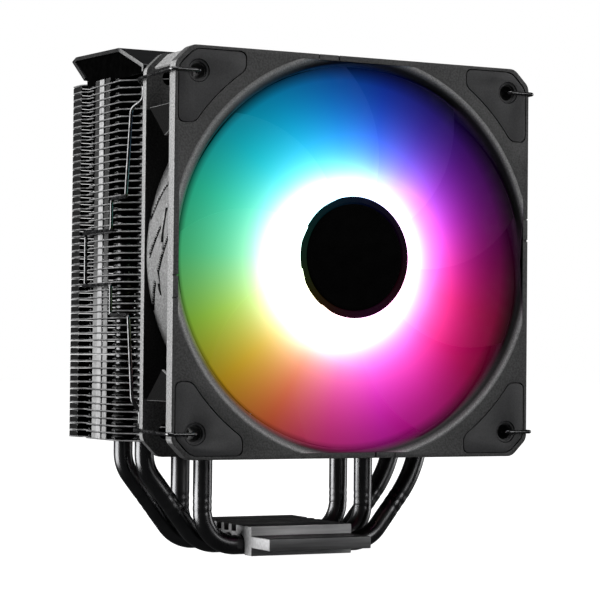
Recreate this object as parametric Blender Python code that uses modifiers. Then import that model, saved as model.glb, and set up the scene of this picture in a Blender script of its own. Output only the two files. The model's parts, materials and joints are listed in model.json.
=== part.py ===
"""CPU tower cooler with one 120 mm fan: base, heat pipes, fin stack, top cover, fan and its two wire clips.

Lengths are in metres, +Z is up. The origin is the centre of the base's contact face, and the fan
faces -Y. The air goes in at the front of the fan and out through the fins, towards +Y.
"""

import math

import bmesh
import bpy
from mathutils import Matrix, Vector

MM = 0.001
GAP = 0.3 * MM  # clearance between neighbouring pieces

# Fan: a 120 mm frame, 25 mm deep, with its screw holes 105 mm apart
FAN_HALF = 60 * MM
FAN_FRONT_Y = -56 * MM
FAN_DEPTH = 25 * MM
FAN_REAR_Y = FAN_FRONT_Y + FAN_DEPTH
FAN_CENTRE_Z = 91.6 * MM
HOLE_OFFSET = 52.5 * MM
HOLE_RADIUS = 2.3 * MM
CORNER_CHAMFER = 5.2 * MM
FRONT_FLANGE = 4 * MM
REAR_FLANGE = 2.5 * MM
REAR_PAD = 1.2 * MM
THROAT_RADIUS = 57.4 * MM
MOUTH_RADIUS = 58.9 * MM
MOUTH_DEPTH = 3 * MM
BARREL_RADIUS = 59.3 * MM
BARREL_SINK = 0.2 * MM  # the barrel's front end lies this far behind the front face
STRUTS = 4
STRUT_WIDTH = 3.2 * MM
STRUT_TURN = math.radians(28)
MOTOR_PLATE_RADIUS = 20 * MM

# Corner pads, inset in the front face and stuck on the rear one
PAD_ARC_RADIUS = 65.5 * MM
PAD_REACH = 37.5 * MM
PAD_MARGIN = 1.2 * MM
PAD_DEPTH = 1.0 * MM
PAD_HOLE_RADIUS = 3.4 * MM

# Rotor and motor
HUB_RADIUS = 19 * MM
HUB_WALL = 1.5 * MM
HUB_FRONT_Y = FAN_FRONT_Y + 1.5 * MM
HUB_REAR_Y = FAN_FRONT_Y + 17.8 * MM
CAP_RADIUS = 16 * MM
BLADES = 9
BLADE_TIP_RADIUS = 56.2 * MM
BLADE_FRONT_Y = FAN_FRONT_Y + 2.2 * MM
BLADE_REAR_Y = FAN_FRONT_Y + 17.4 * MM
BLADE_THICKNESS = 1.6 * MM
BLADE_SPAN = math.radians(43)
BLADE_SWEEP = math.radians(22)
SHAFT_RADIUS = 1.5 * MM
BEARING_CLEARANCE = 0.08 * MM
COILS = 4
COIL_INNER_RADIUS = 7.0 * MM
COIL_OUTER_RADIUS = 12.1 * MM
COIL_HALF_WIDTH = 4.6 * MM
COIL_HALF_DEPTH = 5.0 * MM
POLE_INNER_RADIUS = 6.2 * MM
POLE_OUTER_RADIUS = 14.1 * MM
POLE_HALF_WIDTH = 1.5 * MM
SHOE_HALF_WIDTH = 5.5 * MM
SHOE_DEPTH = 1.6 * MM
CORE_DEPTH = 6 * MM
CORE_BORE = 4.9 * MM
BOARD_RADIUS = 18.2 * MM
LEDS = 4

# Fin stack: fins of sheet aluminium, spaced by their own folded side tabs
FIN_BLOCKS = 3
FINS_PER_BLOCK = 17
FIN_PITCH = 2.2 * MM
FIN_SHEET = 0.4 * MM
FIN_FIRST_Z = 35.6 * MM
FIN_HALF = 58.6 * MM
TOP_FIN_HALF = 55.3 * MM  # the top fin is narrower where the cover's cheeks stand beside it
TOP_FIN_FRONT_Y = -23.4 * MM
TOP_FIN_STEP_Y = 21.4 * MM
FIN_FRONT_Y = -30.6 * MM
FIN_BACK_Y = 31 * MM
FIN_CORNER_CUT = (19 * MM, 20 * MM)  # how far the slanted front corner reaches along X and Y
NOTCH_DEPTH = 2.6 * MM  # the notch near the back edge that a clip's latch drops into
NOTCH_FRONT_Y = 14.5 * MM
NOTCH_FLOOR_Y = (17 * MM, 22.5 * MM)
NOTCH_BACK_Y = 24 * MM
FIN_BACK_INSET = 0.6 * MM  # the fins are a little narrower behind the notch
TAB_FRONT_Y = 1 * MM
TAB_BACK_Y = 12 * MM
TAB_SHEET = 0.4 * MM
TAB_INSET = 0.1 * MM

# Top cover: one bent sheet with a closed cheek at each end
COVER_HALF = 58 * MM
COVER_SHEET = 1.2 * MM
COVER_PROFILE = [  # (Y, Z) of its outer side, from the back lip to the front lip
    (21.2 * MM, 148.9 * MM),
    (32.2 * MM, 156.2 * MM),
    (28.6 * MM, 157.3 * MM),
    (-8.0 * MM, 156.0 * MM),
    (-27.3 * MM, 148.9 * MM),
    (-27.3 * MM, 146.7 * MM),
]
CHEEK_INSET = 1.4 * MM
CHEEK_SHEET = 0.9 * MM
CHEEK_BOTTOM_Z = 146.5 * MM

# Heat pipes, all 6 mm: a bottom run in the base, an inner leg at one end and an outer leg at the other
PIPE_RADIUS = 3 * MM
PIPE_PITCH = 8.6 * MM
PIPE_TOP_Z = 150.4 * MM
INNER_LEG_X = 30.5 * MM
INNER_BEND = 11 * MM
OUTER_LEG_X = 46.5 * MM
OUTER_CORNER_Z = 27 * MM  # where the leg's upright and sloping runs would cross
OUTER_BEND_LEFT = 12 * MM
OUTER_BEND_RIGHT = 36 * MM
OUTER_LOWER_BEND = 11.5 * MM
OUTER_LEAN = math.radians(38)
PIPE_HOLE = 3.4 * MM  # half the side of the square holes in the fins
PIPE_HOLE_TURN = math.radians(20)

# Base: a grooved aluminium block between two mounting ears
BASE_HALF_X = 17.5 * MM
BASE_HALF_Y = 21 * MM
BASE_TOP_Z = 9.2 * MM
EAR_HALF_Y = 34 * MM
EAR_LOW_Z = 2.5 * MM
EAR_HIGH_Z = 6.2 * MM
EAR_HOLE_X = 12 * MM
EAR_HOLE_RADIUS = 1.7 * MM
EAR_CENTRE_Y = 27.5 * MM
SLOT_PITCH = 5.5 * MM
SLOT_WIDTH = 3.0 * MM
SLOT_DEPTH = 2.3 * MM
SLOTS = 4

# Wire clips
WIRE_RADIUS = 0.55 * MM
CLIP_FACE_Y = FAN_FRONT_Y - 0.9 * MM
CLIP_HOOK_Y = FAN_FRONT_Y + 1.5 * MM
CLIP_SIDE_X = 61.2 * MM
CLIP_TUCK_X = 58.9 * MM  # the short upright stretch tucked behind the frame's corner
CLIP_TUCK_DEPTH = 1.0 * MM  # how far behind the frame it stands
CLIP_RUN_X = 60.2 * MM  # the level run beside the fins' tabs
CLIP_RUN_Z = 8.3 * MM  # its height over the fan's centre
CLIP_STEP_Y = -9 * MM  # the short upright step between the slanted stretch and the level run
CLIP_STEP_Z = 17.8 * MM
CLIP_LATCH_X = 57.2 * MM  # the upright stretch that sits in the notch
CLIP_LATCH_Y = 19.9 * MM

ROUND = 40  # segments of the large round shapes
SMALL_ROUND = 24
HOLE_ROUND = 10


def clear_scene():
    for obj in list(bpy.data.objects):
        bpy.data.objects.remove(obj, do_unlink=True)


def new_collection(name):
    collection = bpy.data.collections.new(name)
    bpy.context.scene.collection.children.link(collection)
    return collection


clear_scene()
PARTS = new_collection("cpu_tower_cooler")
CUTTERS = new_collection("cutters")


def material(name, colour, roughness, metallic=0.0):
    made = bpy.data.materials.new(name)
    made.use_nodes = True
    shader = made.node_tree.nodes["Principled BSDF"]
    shader.inputs["Base Color"].default_value = (*colour, 1.0)
    shader.inputs["Roughness"].default_value = roughness
    shader.inputs["Metallic"].default_value = metallic
    return made


def empty(name, location):
    made = bpy.data.objects.new(name, None)
    made.location = location
    made.empty_display_size = 10 * MM
    PARTS.objects.link(made)
    return made


def mesh_object(name, mesh, finish, cutter=False):
    """Links a mesh as a part, or as a hidden helper that a Boolean uses."""
    obj = bpy.data.objects.new(name, mesh)
    mesh.shade_smooth()
    mesh.set_sharp_from_angle(angle=math.radians(32))
    (CUTTERS if cutter else PARTS).objects.link(obj)
    if cutter:
        obj.hide_render = True
        obj.display_type = "WIRE"
    else:
        mesh.materials.clear()
        mesh.materials.append(finish)
    return obj


def object_from(name, bm, finish=None, cutter=False):
    mesh = bpy.data.meshes.new(name)
    bmesh.ops.recalc_face_normals(bm, faces=bm.faces)
    bm.to_mesh(mesh)
    bm.free()
    return mesh_object(name, mesh, finish, cutter)


def add_box(bm, low, high):
    low, high = Vector(low), Vector(high)
    size = high - low
    place = Matrix.Translation((low + high) / 2) @ Matrix.Diagonal((*size, 1.0))
    bmesh.ops.create_cube(bm, size=1.0, matrix=place)


def add_rod(bm, radius, start, end, segments):
    """A cylinder between two points."""
    start, end = Vector(start), Vector(end)
    axis = end - start
    turn = axis.to_track_quat("Z", "Y").to_matrix().to_4x4()
    bmesh.ops.create_cone(
        bm,
        cap_ends=True,
        segments=segments,
        radius1=radius,
        radius2=radius,
        depth=axis.length,
        matrix=Matrix.Translation((start + end) / 2) @ turn,
    )


def box(name, low, high, finish=None, cutter=False):
    bm = bmesh.new()
    add_box(bm, low, high)
    return object_from(name, bm, finish, cutter)


def circle(radius, segments, centre=(0.0, 0.0), start=0.0):
    turns = [start + 2 * math.pi * i / segments for i in range(segments)]
    return [(centre[0] + radius * math.cos(t), centre[1] + radius * math.sin(t)) for t in turns]


def arc(centre, radius, start, end, steps):
    return [
        (
            centre[0] + radius * math.cos(start + (end - start) * i / steps),
            centre[1] + radius * math.sin(start + (end - start) * i / steps),
        )
        for i in range(steps + 1)
    ]


def plate(name, outlines, thickness, place, finish=None, cutter=False):
    """A flat plate from closed outlines (the first is the rim, the rest are holes), centred on `place`."""
    curve = bpy.data.curves.new(name, "CURVE")
    curve.dimensions = "2D"
    curve.fill_mode = "BOTH"
    curve.extrude = thickness / 2
    for outline in outlines:
        spline = curve.splines.new("POLY")
        spline.points.add(len(outline) - 1)
        for point, (x, y) in zip(spline.points, outline):
            point.co = (x, y, 0.0, 1.0)
        spline.use_cyclic_u = True
    flat = bpy.data.objects.new(name, curve)
    PARTS.objects.link(flat)
    flat.matrix_world = place
    mesh = mesh_of(flat)
    obj = mesh_object(name, mesh, finish, cutter)
    obj.matrix_world = place
    return obj


def mesh_of(curve_object):
    """The curve's welded mesh. The curve is removed."""
    bpy.context.view_layer.update()
    graph = bpy.context.evaluated_depsgraph_get()
    mesh = bpy.data.meshes.new_from_object(curve_object.evaluated_get(graph))
    bpy.data.objects.remove(curve_object, do_unlink=True)
    bm = bmesh.new()
    bm.from_mesh(mesh)
    bmesh.ops.remove_doubles(bm, verts=bm.verts, dist=0.00001)
    bmesh.ops.recalc_face_normals(bm, faces=bm.faces)
    bm.to_mesh(mesh)
    bm.free()
    return mesh


def turned(name, profile, segments, place, finish=None, cutter=False):
    """A closed profile of (radius, height) turned about local Z, running down its outer side."""
    bm = bmesh.new()
    points = [bm.verts.new((radius, 0.0, height)) for radius, height in profile]
    for i, point in enumerate(points):
        bm.edges.new((point, points[(i + 1) % len(points)]))
    mesh = bpy.data.meshes.new(name)
    bm.to_mesh(mesh)
    bm.free()
    obj = mesh_object(name, mesh, finish, cutter)
    obj.matrix_world = place
    screw = obj.modifiers.new("turn", "SCREW")
    screw.axis = "Z"
    screw.steps = segments
    screw.render_steps = segments
    screw.use_merge_vertices = True
    screw.merge_threshold = 0.00001
    screw.use_smooth_shade = True
    return obj


def ring_profile(inner, outer, low, high):
    return [(outer, high), (outer, low), (inner, low), (inner, high)]


def wire(name, points, radius, finish):
    curve = bpy.data.curves.new(name, "CURVE")
    curve.dimensions = "3D"
    curve.bevel_depth = radius
    curve.bevel_resolution = 2
    curve.use_fill_caps = True
    spline = curve.splines.new("POLY")
    spline.points.add(len(points) - 1)
    for point, place in zip(spline.points, points):
        point.co = (*place, 1.0)
    spline.use_smooth = True
    curve.materials.append(finish)
    obj = bpy.data.objects.new(name, curve)
    PARTS.objects.link(obj)
    return obj


def combine(target, others, operation):
    for other in others:
        step = target.modifiers.new(other.name, "BOOLEAN")
        step.operation = operation
        step.solver = "EXACT"
        step.object = other


# Local X, Y, Z of a piece drawn facing the viewer become world X, Z and -Y, about the fan's axis.
def facing_front(y):
    return Matrix.Translation((0, y, FAN_CENTRE_Z)) @ Matrix.Rotation(math.radians(90), 4, "X")


# ---------------------------------------------------------------- base and heat pipes


def make_base(finish):
    base = box(
        "base_block", (-BASE_HALF_X, -BASE_HALF_Y, 0), (BASE_HALF_X, BASE_HALF_Y, BASE_TOP_Z), finish
    )
    ears = box(
        "ears_helper",
        (-BASE_HALF_X, -EAR_HALF_Y, EAR_LOW_Z),
        (BASE_HALF_X, EAR_HALF_Y, EAR_HIGH_Z),
        cutter=True,
    )
    cuts = bmesh.new()
    groove = PIPE_RADIUS + GAP
    for y in pipe_rows():
        add_box(cuts, (-30 * MM, y - groove, -2 * MM), (30 * MM, y + groove, 2 * PIPE_RADIUS + GAP))
    for i in range(SLOTS):
        y = (i - (SLOTS - 1) / 2) * SLOT_PITCH
        add_box(
            cuts,
            (-30 * MM, y - SLOT_WIDTH / 2, BASE_TOP_Z - SLOT_DEPTH),
            (30 * MM, y + SLOT_WIDTH / 2, BASE_TOP_Z + 2 * MM),
        )
    for x in (-EAR_HOLE_X, EAR_HOLE_X):
        for y in (-EAR_CENTRE_Y, EAR_CENTRE_Y):
            add_rod(cuts, EAR_HOLE_RADIUS, (x, y, -1 * MM), (x, y, 12 * MM), HOLE_ROUND)
    combine(base, [ears], "UNION")
    combine(base, [object_from("base_cuts", cuts, cutter=True)], "DIFFERENCE")
    return base


def pipe_rows():
    return [(i - 1.5) * PIPE_PITCH for i in range(4)]


def inner_leg():
    """(X, Z) points from the base's end up an inner leg."""
    centre = (INNER_LEG_X - INNER_BEND, PIPE_RADIUS + INNER_BEND)
    bend = arc(centre, INNER_BEND, -math.pi / 2, 0.0, 6)
    return bend + [(INNER_LEG_X, PIPE_TOP_Z)]


def outer_leg(bend):
    """(X, Z) points from the base's end up an outer leg: a bend, a slanted run and an upper bend."""
    upper_centre = (OUTER_LEG_X - bend, OUTER_CORNER_Z + bend * math.tan(OUTER_LEAN / 2))
    upper = arc(upper_centre, bend, -OUTER_LEAN, 0.0, 4)
    lower_top_z = PIPE_RADIUS + OUTER_LOWER_BEND * (1 - math.sin(OUTER_LEAN))
    run = (upper[0][1] - lower_top_z) * math.tan(OUTER_LEAN)
    lower_centre = (
        upper[0][0] - run - OUTER_LOWER_BEND * math.cos(OUTER_LEAN),
        PIPE_RADIUS + OUTER_LOWER_BEND,
    )
    lower = arc(lower_centre, OUTER_LOWER_BEND, -math.pi / 2, -OUTER_LEAN, 4)
    return lower + upper + [(OUTER_LEG_X, PIPE_TOP_Z)]


def make_heat_pipes(finish):
    """Alternate pipes swap their inner and outer legs, so the legs stand in two rows on each side."""
    for i, y in enumerate(pipe_rows()):
        side = 1 if i % 2 == 0 else -1
        bend = OUTER_BEND_RIGHT if side > 0 else OUTER_BEND_LEFT
        outer = [(side * x, y, z) for x, z in outer_leg(bend)]
        inner = [(-side * x, y, z) for x, z in inner_leg()]
        wire(f"heat_pipe_{i + 1}", inner[::-1] + outer, PIPE_RADIUS, finish)


# ---------------------------------------------------------------- fins and cover


def full_fin():
    """Half of a fin's plan, on the +X side from front to back: cut front corner, notch, back corner."""
    notch_x = FIN_HALF - NOTCH_DEPTH
    return [
        (FIN_HALF - FIN_CORNER_CUT[0], FIN_FRONT_Y),
        (FIN_HALF, FIN_FRONT_Y + FIN_CORNER_CUT[1]),
        (FIN_HALF, NOTCH_FRONT_Y),
        (notch_x, NOTCH_FLOOR_Y[0]),
        (notch_x, NOTCH_FLOOR_Y[1]),
        (FIN_HALF - FIN_BACK_INSET, NOTCH_BACK_Y),
        (FIN_HALF - FIN_BACK_INSET, FIN_BACK_Y),
    ]


def top_fin():
    """Half of the top fin's plan: it widens to the stack's width behind the cover's cheeks."""
    return [
        (TOP_FIN_HALF, TOP_FIN_FRONT_Y),
        (TOP_FIN_HALF, TOP_FIN_STEP_Y),
        (FIN_HALF - FIN_BACK_INSET, NOTCH_BACK_Y),
        (FIN_HALF - FIN_BACK_INSET, FIN_BACK_Y),
    ]


def leg_places():
    """(X, Y) where the eight pipe legs pass through the fins."""
    places = []
    for i, y in enumerate(pipe_rows()):
        side = 1 if i % 2 == 0 else -1
        places += [(side * OUTER_LEG_X, y), (-side * INNER_LEG_X, y)]
    return places


def make_fin(name, right, level, finish):
    rim = right + [(-x, y) for x, y in reversed(right)]
    holes = [circle(PIPE_HOLE * math.sqrt(2), 4, place, PIPE_HOLE_TURN) for place in leg_places()]
    place = Matrix.Translation((0, 0, FIN_FIRST_Z + level * FIN_PITCH))
    return plate(name, [rim] + holes, FIN_SHEET, place, finish)


def make_fin_block(name, first, finish):
    """Fins stacked at their pitch, joined by the folded tabs that space them."""
    block = make_fin(name, full_fin(), first, finish)
    stack = bmesh.new()
    stack.from_mesh(block.data)
    sheet = list(stack.verts) + list(stack.edges) + list(stack.faces)
    for i in range(1, FINS_PER_BLOCK):
        copy = bmesh.ops.duplicate(stack, geom=sheet)["geom"]
        verts = [item for item in copy if isinstance(item, bmesh.types.BMVert)]
        bmesh.ops.translate(stack, verts=verts, vec=(0, 0, i * FIN_PITCH))
    stack.to_mesh(block.data)
    stack.free()
    tabs = bmesh.new()
    low = FIN_FIRST_Z + first * FIN_PITCH - FIN_SHEET / 4
    high = low + (FINS_PER_BLOCK - 1) * FIN_PITCH + FIN_SHEET / 2
    for side in (-1, 1):
        outside = FIN_HALF - TAB_INSET
        ends = sorted((side * (outside - TAB_SHEET), side * outside))
        add_box(tabs, (ends[0], TAB_FRONT_Y, low), (ends[1], TAB_BACK_Y, high))
    combine(block, [object_from(f"{name}_tabs", tabs, cutter=True)], "UNION")


def make_fins(finish):
    for i in range(FIN_BLOCKS):
        make_fin_block(f"fin_block_{i + 1}", i * FINS_PER_BLOCK, finish)
    make_fin("top_fin", top_fin(), FIN_BLOCKS * FINS_PER_BLOCK, finish)


def cheek_rim(inside):
    """The cheek's outline: the cover's profile moved in by half its sheet, closed along the bottom."""
    (lip_y, lip_z), (back_y, back_z), (top_y, top_z), (slope_y, slope_z), (front_y, front_z) = (
        COVER_PROFILE[:5]
    )
    return [
        (lip_y - inside, lip_z + inside / 2),
        (back_y - 2 * inside, back_z),
        (top_y, top_z - inside),
        (slope_y, slope_z - inside),
        (front_y + inside, front_z - inside / 2),
        (front_y + inside, CHEEK_BOTTOM_Z),
        (lip_y - inside, CHEEK_BOTTOM_Z),
    ]


def make_top_cover(finish):
    sheet = bmesh.new()
    rails = [
        [sheet.verts.new((x, y, z)) for y, z in COVER_PROFILE] for x in (-COVER_HALF, COVER_HALF)
    ]
    for i in range(len(COVER_PROFILE) - 1):
        sheet.faces.new((rails[0][i], rails[0][i + 1], rails[1][i + 1], rails[1][i]))
    mesh = bpy.data.meshes.new("top_cover")
    sheet.to_mesh(mesh)
    sheet.free()
    cover = mesh_object("top_cover", mesh, finish)
    thick = cover.modifiers.new("sheet", "SOLIDIFY")
    thick.thickness = COVER_SHEET
    thick.offset = -1
    thick.use_even_offset = True
    rim = cheek_rim(COVER_SHEET / 2)
    upright = Matrix.Rotation(math.radians(90), 4, "Z") @ Matrix.Rotation(math.radians(90), 4, "X")
    for name, side in (("left", -1), ("right", 1)):
        x = side * (COVER_HALF - CHEEK_INSET)
        cheek = plate(
            f"{name}_cheek_helper", [rim], CHEEK_SHEET, Matrix.Translation((x, 0, 0)) @ upright, cutter=True
        )
        combine(cover, [cheek], "UNION")
    return cover


# ---------------------------------------------------------------- fan frame and pads


def fan_rim():
    near, far = FAN_HALF - CORNER_CHAMFER, FAN_HALF
    return [
        (near, -far), (far, -near), (far, near), (near, far),
        (-near, far), (-far, near), (-far, -near), (-near, -far),
    ]


def fan_holes(radius):
    return [
        circle(radius, HOLE_ROUND, (x, y))
        for x in (-HOLE_OFFSET, HOLE_OFFSET)
        for y in (-HOLE_OFFSET, HOLE_OFFSET)
    ]


def pad_outline(grow=0.0):
    """The pad of the corner at +X +Z: short ends, a chamfered outer corner and an arc round the throat."""
    reach, edge = PAD_REACH - grow, FAN_HALF - PAD_MARGIN + grow
    radius = PAD_ARC_RADIUS - grow
    chamfer = CORNER_CHAMFER
    start = math.acos(reach / radius)
    return [
        (edge, reach), (edge, edge - chamfer), (edge - chamfer, edge), (reach, edge),
    ] + arc((0, 0), radius, start, math.pi / 2 - start, 6)


def corner_turn(index):
    return Matrix.Rotation(math.radians(90 * index), 4, "Z")


def make_fan_frame(finish):
    frame = plate(
        "fan_frame",
        [fan_rim(), circle(MOUTH_RADIUS + BARREL_SINK, ROUND)] + fan_holes(HOLE_RADIUS),
        FRONT_FLANGE, facing_front(FAN_FRONT_Y + FRONT_FLANGE / 2), finish,
    )
    rear_y = FAN_REAR_Y - REAR_PAD - REAR_FLANGE / 2
    rear = plate(
        "rear_flange_helper",
        [fan_rim(), circle(THROAT_RADIUS + 1 * MM, ROUND)] + fan_holes(HOLE_RADIUS),
        REAR_FLANGE, facing_front(rear_y), cutter=True,
    )
    depth = rear_y - FAN_FRONT_Y
    barrel = turned(
        "barrel_helper",
        [(BARREL_RADIUS, -BARREL_SINK), (BARREL_RADIUS, -depth), (THROAT_RADIUS, -depth),
         (THROAT_RADIUS, -MOUTH_DEPTH), (MOUTH_RADIUS, -BARREL_SINK)],
        ROUND, facing_front(FAN_FRONT_Y), cutter=True,
    )
    half = REAR_FLANGE / 2
    motor_plate = bmesh.new()
    add_rod(
        motor_plate, MOTOR_PLATE_RADIUS, (0, rear_y - half, FAN_CENTRE_Z),
        (0, rear_y + half, FAN_CENTRE_Z), SMALL_ROUND,
    )
    helpers = [rear, barrel, object_from("motor_plate_helper", motor_plate, cutter=True)]
    for i in range(STRUTS):
        strut = bmesh.new()
        add_box(
            strut,
            (MOTOR_PLATE_RADIUS - 3 * MM, -STRUT_WIDTH / 2, -half + 0.2 * MM),
            (THROAT_RADIUS + 1.5 * MM, STRUT_WIDTH / 2, half - 0.2 * MM),
        )
        turn = Matrix.Rotation(2 * math.pi * i / STRUTS + STRUT_TURN, 4, "Z")
        bmesh.ops.transform(strut, matrix=facing_front(rear_y) @ turn, verts=strut.verts)
        helpers.append(object_from(f"strut_{i + 1}_helper", strut, cutter=True))
    tube_length = rear_y - (FAN_FRONT_Y + 6.5 * MM)
    helpers.append(
        turned(
            "bearing_tube_helper", ring_profile(3.5 * MM, 4.6 * MM, 0, tube_length), SMALL_ROUND,
            facing_front(rear_y), cutter=True,
        )
    )
    combine(frame, helpers, "UNION")
    pockets = [
        plate(
            f"pad_pocket_{i + 1}_cutter", [pad_outline(GAP)], 2 * (PAD_DEPTH + GAP),
            facing_front(FAN_FRONT_Y) @ corner_turn(i), cutter=True,
        )
        for i in range(4)
    ]
    combine(frame, pockets, "DIFFERENCE")
    return frame


def make_pads(finish):
    hole = circle(PAD_HOLE_RADIUS, HOLE_ROUND, (HOLE_OFFSET, HOLE_OFFSET))
    for i in range(4):
        turn = corner_turn(i)
        front = facing_front(FAN_FRONT_Y + PAD_DEPTH / 2) @ turn
        plate(f"front_pad_{i + 1}", [pad_outline(), hole], PAD_DEPTH, front, finish)
        thickness = REAR_PAD - 2 * GAP
        rear = facing_front(FAN_REAR_Y - REAR_PAD / 2) @ turn
        plate(f"rear_pad_{i + 1}", [pad_outline(), hole], thickness, rear, finish)


# ---------------------------------------------------------------- motor, fixed half


def pole_outline():
    """One pole of the core along +X: a thin arm and a wide shoe with a bowed face."""
    arm, shoe, neck = POLE_HALF_WIDTH, SHOE_HALF_WIDTH, POLE_OUTER_RADIUS - SHOE_DEPTH
    tip = math.sqrt(POLE_OUTER_RADIUS**2 - shoe**2)
    side = [(POLE_INNER_RADIUS, arm), (neck, arm), (neck, shoe), (tip, shoe)]
    return [(x, -y) for x, y in side] + [(POLE_OUTER_RADIUS, 0.0)] + side[::-1]


def make_stator(steel, copper):
    outline = []
    for i in range(COILS):
        turn = Matrix.Rotation(2 * math.pi * i / COILS, 2)
        outline += [tuple(turn @ Vector(point)) for point in pole_outline()]
    centre = facing_front(FAN_FRONT_Y + 11 * MM)
    plate("stator_core", [outline, circle(CORE_BORE, SMALL_ROUND)], CORE_DEPTH, centre, steel)
    for i in range(COILS):
        place = centre @ Matrix.Rotation(2 * math.pi * i / COILS, 4, "Z")
        coil = bmesh.new()
        add_box(
            coil,
            (COIL_INNER_RADIUS, -COIL_HALF_WIDTH, -COIL_HALF_DEPTH),
            (COIL_OUTER_RADIUS, COIL_HALF_WIDTH, COIL_HALF_DEPTH),
        )
        hole = bmesh.new()
        across, deep = POLE_HALF_WIDTH + GAP, CORE_DEPTH / 2 + GAP
        beyond = 2 * MM
        add_box(
            hole,
            (COIL_INNER_RADIUS - beyond, -across, -deep),
            (COIL_OUTER_RADIUS + beyond, across, deep),
        )
        for shape in (coil, hole):
            bmesh.ops.transform(shape, matrix=place, verts=shape.verts)
        winding = object_from(f"stator_coil_{i + 1}", coil, copper)
        combine(winding, [object_from(f"coil_{i + 1}_cutter", hole, cutter=True)], "DIFFERENCE")


def make_fixed_motor(steel, copper, bronze, board_green, led_white):
    turned(
        "bearing_sleeve",
        ring_profile(SHAFT_RADIUS + BEARING_CLEARANCE, 3.2 * MM, 0, 14.2 * MM), SMALL_ROUND,
        facing_front(FAN_FRONT_Y + 20.9 * MM), bronze,
    )
    make_stator(steel, copper)
    board_y = FAN_FRONT_Y + 20 * MM
    plate(
        "circuit_board", [circle(BOARD_RADIUS, SMALL_ROUND), circle(CORE_BORE, SMALL_ROUND)], 1 * MM,
        facing_front(board_y), board_green,
    )
    for i in range(LEDS):
        led = bmesh.new()
        add_box(led, (14.2 * MM, -1.4 * MM, 0.8 * MM), (17.2 * MM, 1.4 * MM, 1.7 * MM))
        turn = Matrix.Rotation(2 * math.pi * (i + 0.5) / LEDS, 4, "Z")
        bmesh.ops.transform(led, matrix=facing_front(board_y) @ turn, verts=led.verts)
        object_from(f"led_{i + 1}", led, led_white)


# ---------------------------------------------------------------- rotor


def blade_point(across, along):
    """Across runs 0 to 1 from root to tip, along 0 to 1 from the leading to the trailing edge."""
    radius = HUB_RADIUS - 0.7 * MM + across * (BLADE_TIP_RADIUS - HUB_RADIUS + 0.7 * MM)
    turn = BLADE_SWEEP * across**1.6 + BLADE_SPAN * along * (1 - 0.06 * across)
    curl = along + 0.16 * math.sin(math.pi * along)
    depth = BLADE_FRONT_Y + (BLADE_REAR_Y - BLADE_FRONT_Y) * curl
    depth = min(depth, BLADE_REAR_Y) + 1.5 * MM * across * (1 - along)
    return Vector((radius * math.cos(turn), depth, radius * math.sin(turn)))


def make_impeller(finish, axis):
    depth = HUB_REAR_Y - HUB_FRONT_Y
    inner = HUB_RADIUS - HUB_WALL
    boss_radius, boss_bore, boss_depth = 4.0 * MM, SHAFT_RADIUS + GAP, 3.4 * MM
    profile = [
        (HUB_RADIUS - 0.8 * MM, 0), (HUB_RADIUS, -0.8 * MM), (HUB_RADIUS, -depth), (inner, -depth),
        (inner, -HUB_WALL), (boss_radius, -HUB_WALL), (boss_radius, -boss_depth),
        (boss_bore, -boss_depth), (boss_bore, -0.9 * MM), (CAP_RADIUS + GAP, -0.9 * MM),
        (CAP_RADIUS + GAP, 0),
    ]
    # the cap's recess is 0.9 mm deep, so the hub's front wall behind it is 0.6 mm
    impeller = turned("impeller", profile, ROUND, facing_front(HUB_FRONT_Y), finish)
    blades = bmesh.new()
    for i in range(BLADES):
        turn = Matrix.Rotation(2 * math.pi * i / BLADES, 3, "Y")
        cage = bmesh.ops.create_grid(blades, x_segments=4, y_segments=4, size=0.5)["verts"]
        for vert in cage:
            vert.co = turn @ blade_point(vert.co.x + 0.5, vert.co.y + 0.5)
    bmesh.ops.translate(blades, verts=blades.verts, vec=(0, 0, FAN_CENTRE_Z))
    mesh = bpy.data.meshes.new("blades_helper")
    blades.to_mesh(mesh)
    blades.free()
    sheet = mesh_object("blades_helper", mesh, None, cutter=True)
    thick = sheet.modifiers.new("thickness", "SOLIDIFY")
    thick.thickness = BLADE_THICKNESS
    thick.offset = 0
    combine(impeller, [sheet], "UNION")
    keep_in_place(impeller, axis)
    return impeller


def keep_in_place(child, parent):
    """Parents without moving the child, so that the parent's turning carries it round."""
    bpy.context.view_layer.update()
    child.parent = parent
    child.matrix_parent_inverse = parent.matrix_world.inverted()


def make_rotor(plastic, steel, ferrite, cap):
    axis = empty("fan_axis", (0, FAN_FRONT_Y, FAN_CENTRE_Z))
    make_impeller(plastic, axis)
    yoke_front, yoke_rear = FAN_FRONT_Y + 3.4 * MM, FAN_FRONT_Y + 17.5 * MM
    yoke_depth = yoke_rear - yoke_front
    yoke = turned(
        "rotor_yoke",
        [(17.1 * MM, 0), (17.1 * MM, -yoke_depth), (16.3 * MM, -yoke_depth), (16.3 * MM, -0.8 * MM),
         (4.4 * MM, -0.8 * MM), (4.4 * MM, 0)],
        SMALL_ROUND, facing_front(yoke_front), steel,
    )
    magnet = turned(
        "magnet_ring", ring_profile(14.8 * MM, 16.0 * MM, 0, 12 * MM), SMALL_ROUND,
        facing_front(FAN_FRONT_Y + 17.0 * MM), ferrite,
    )
    pin = bmesh.new()
    add_rod(
        pin, SHAFT_RADIUS, (0, FAN_FRONT_Y + 2.7 * MM, FAN_CENTRE_Z),
        (0, FAN_FRONT_Y + 20.8 * MM, FAN_CENTRE_Z), SMALL_ROUND,
    )
    shaft = object_from("shaft", pin, steel)
    disc = bmesh.new()
    add_rod(
        disc, CAP_RADIUS, (0, HUB_FRONT_Y + 0.1 * MM, FAN_CENTRE_Z),
        (0, HUB_FRONT_Y + 0.6 * MM, FAN_CENTRE_Z), ROUND,
    )
    hub_cap = object_from("hub_cap", disc, cap)
    for piece in (yoke, magnet, shaft, hub_cap):
        keep_in_place(piece, axis)


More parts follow.
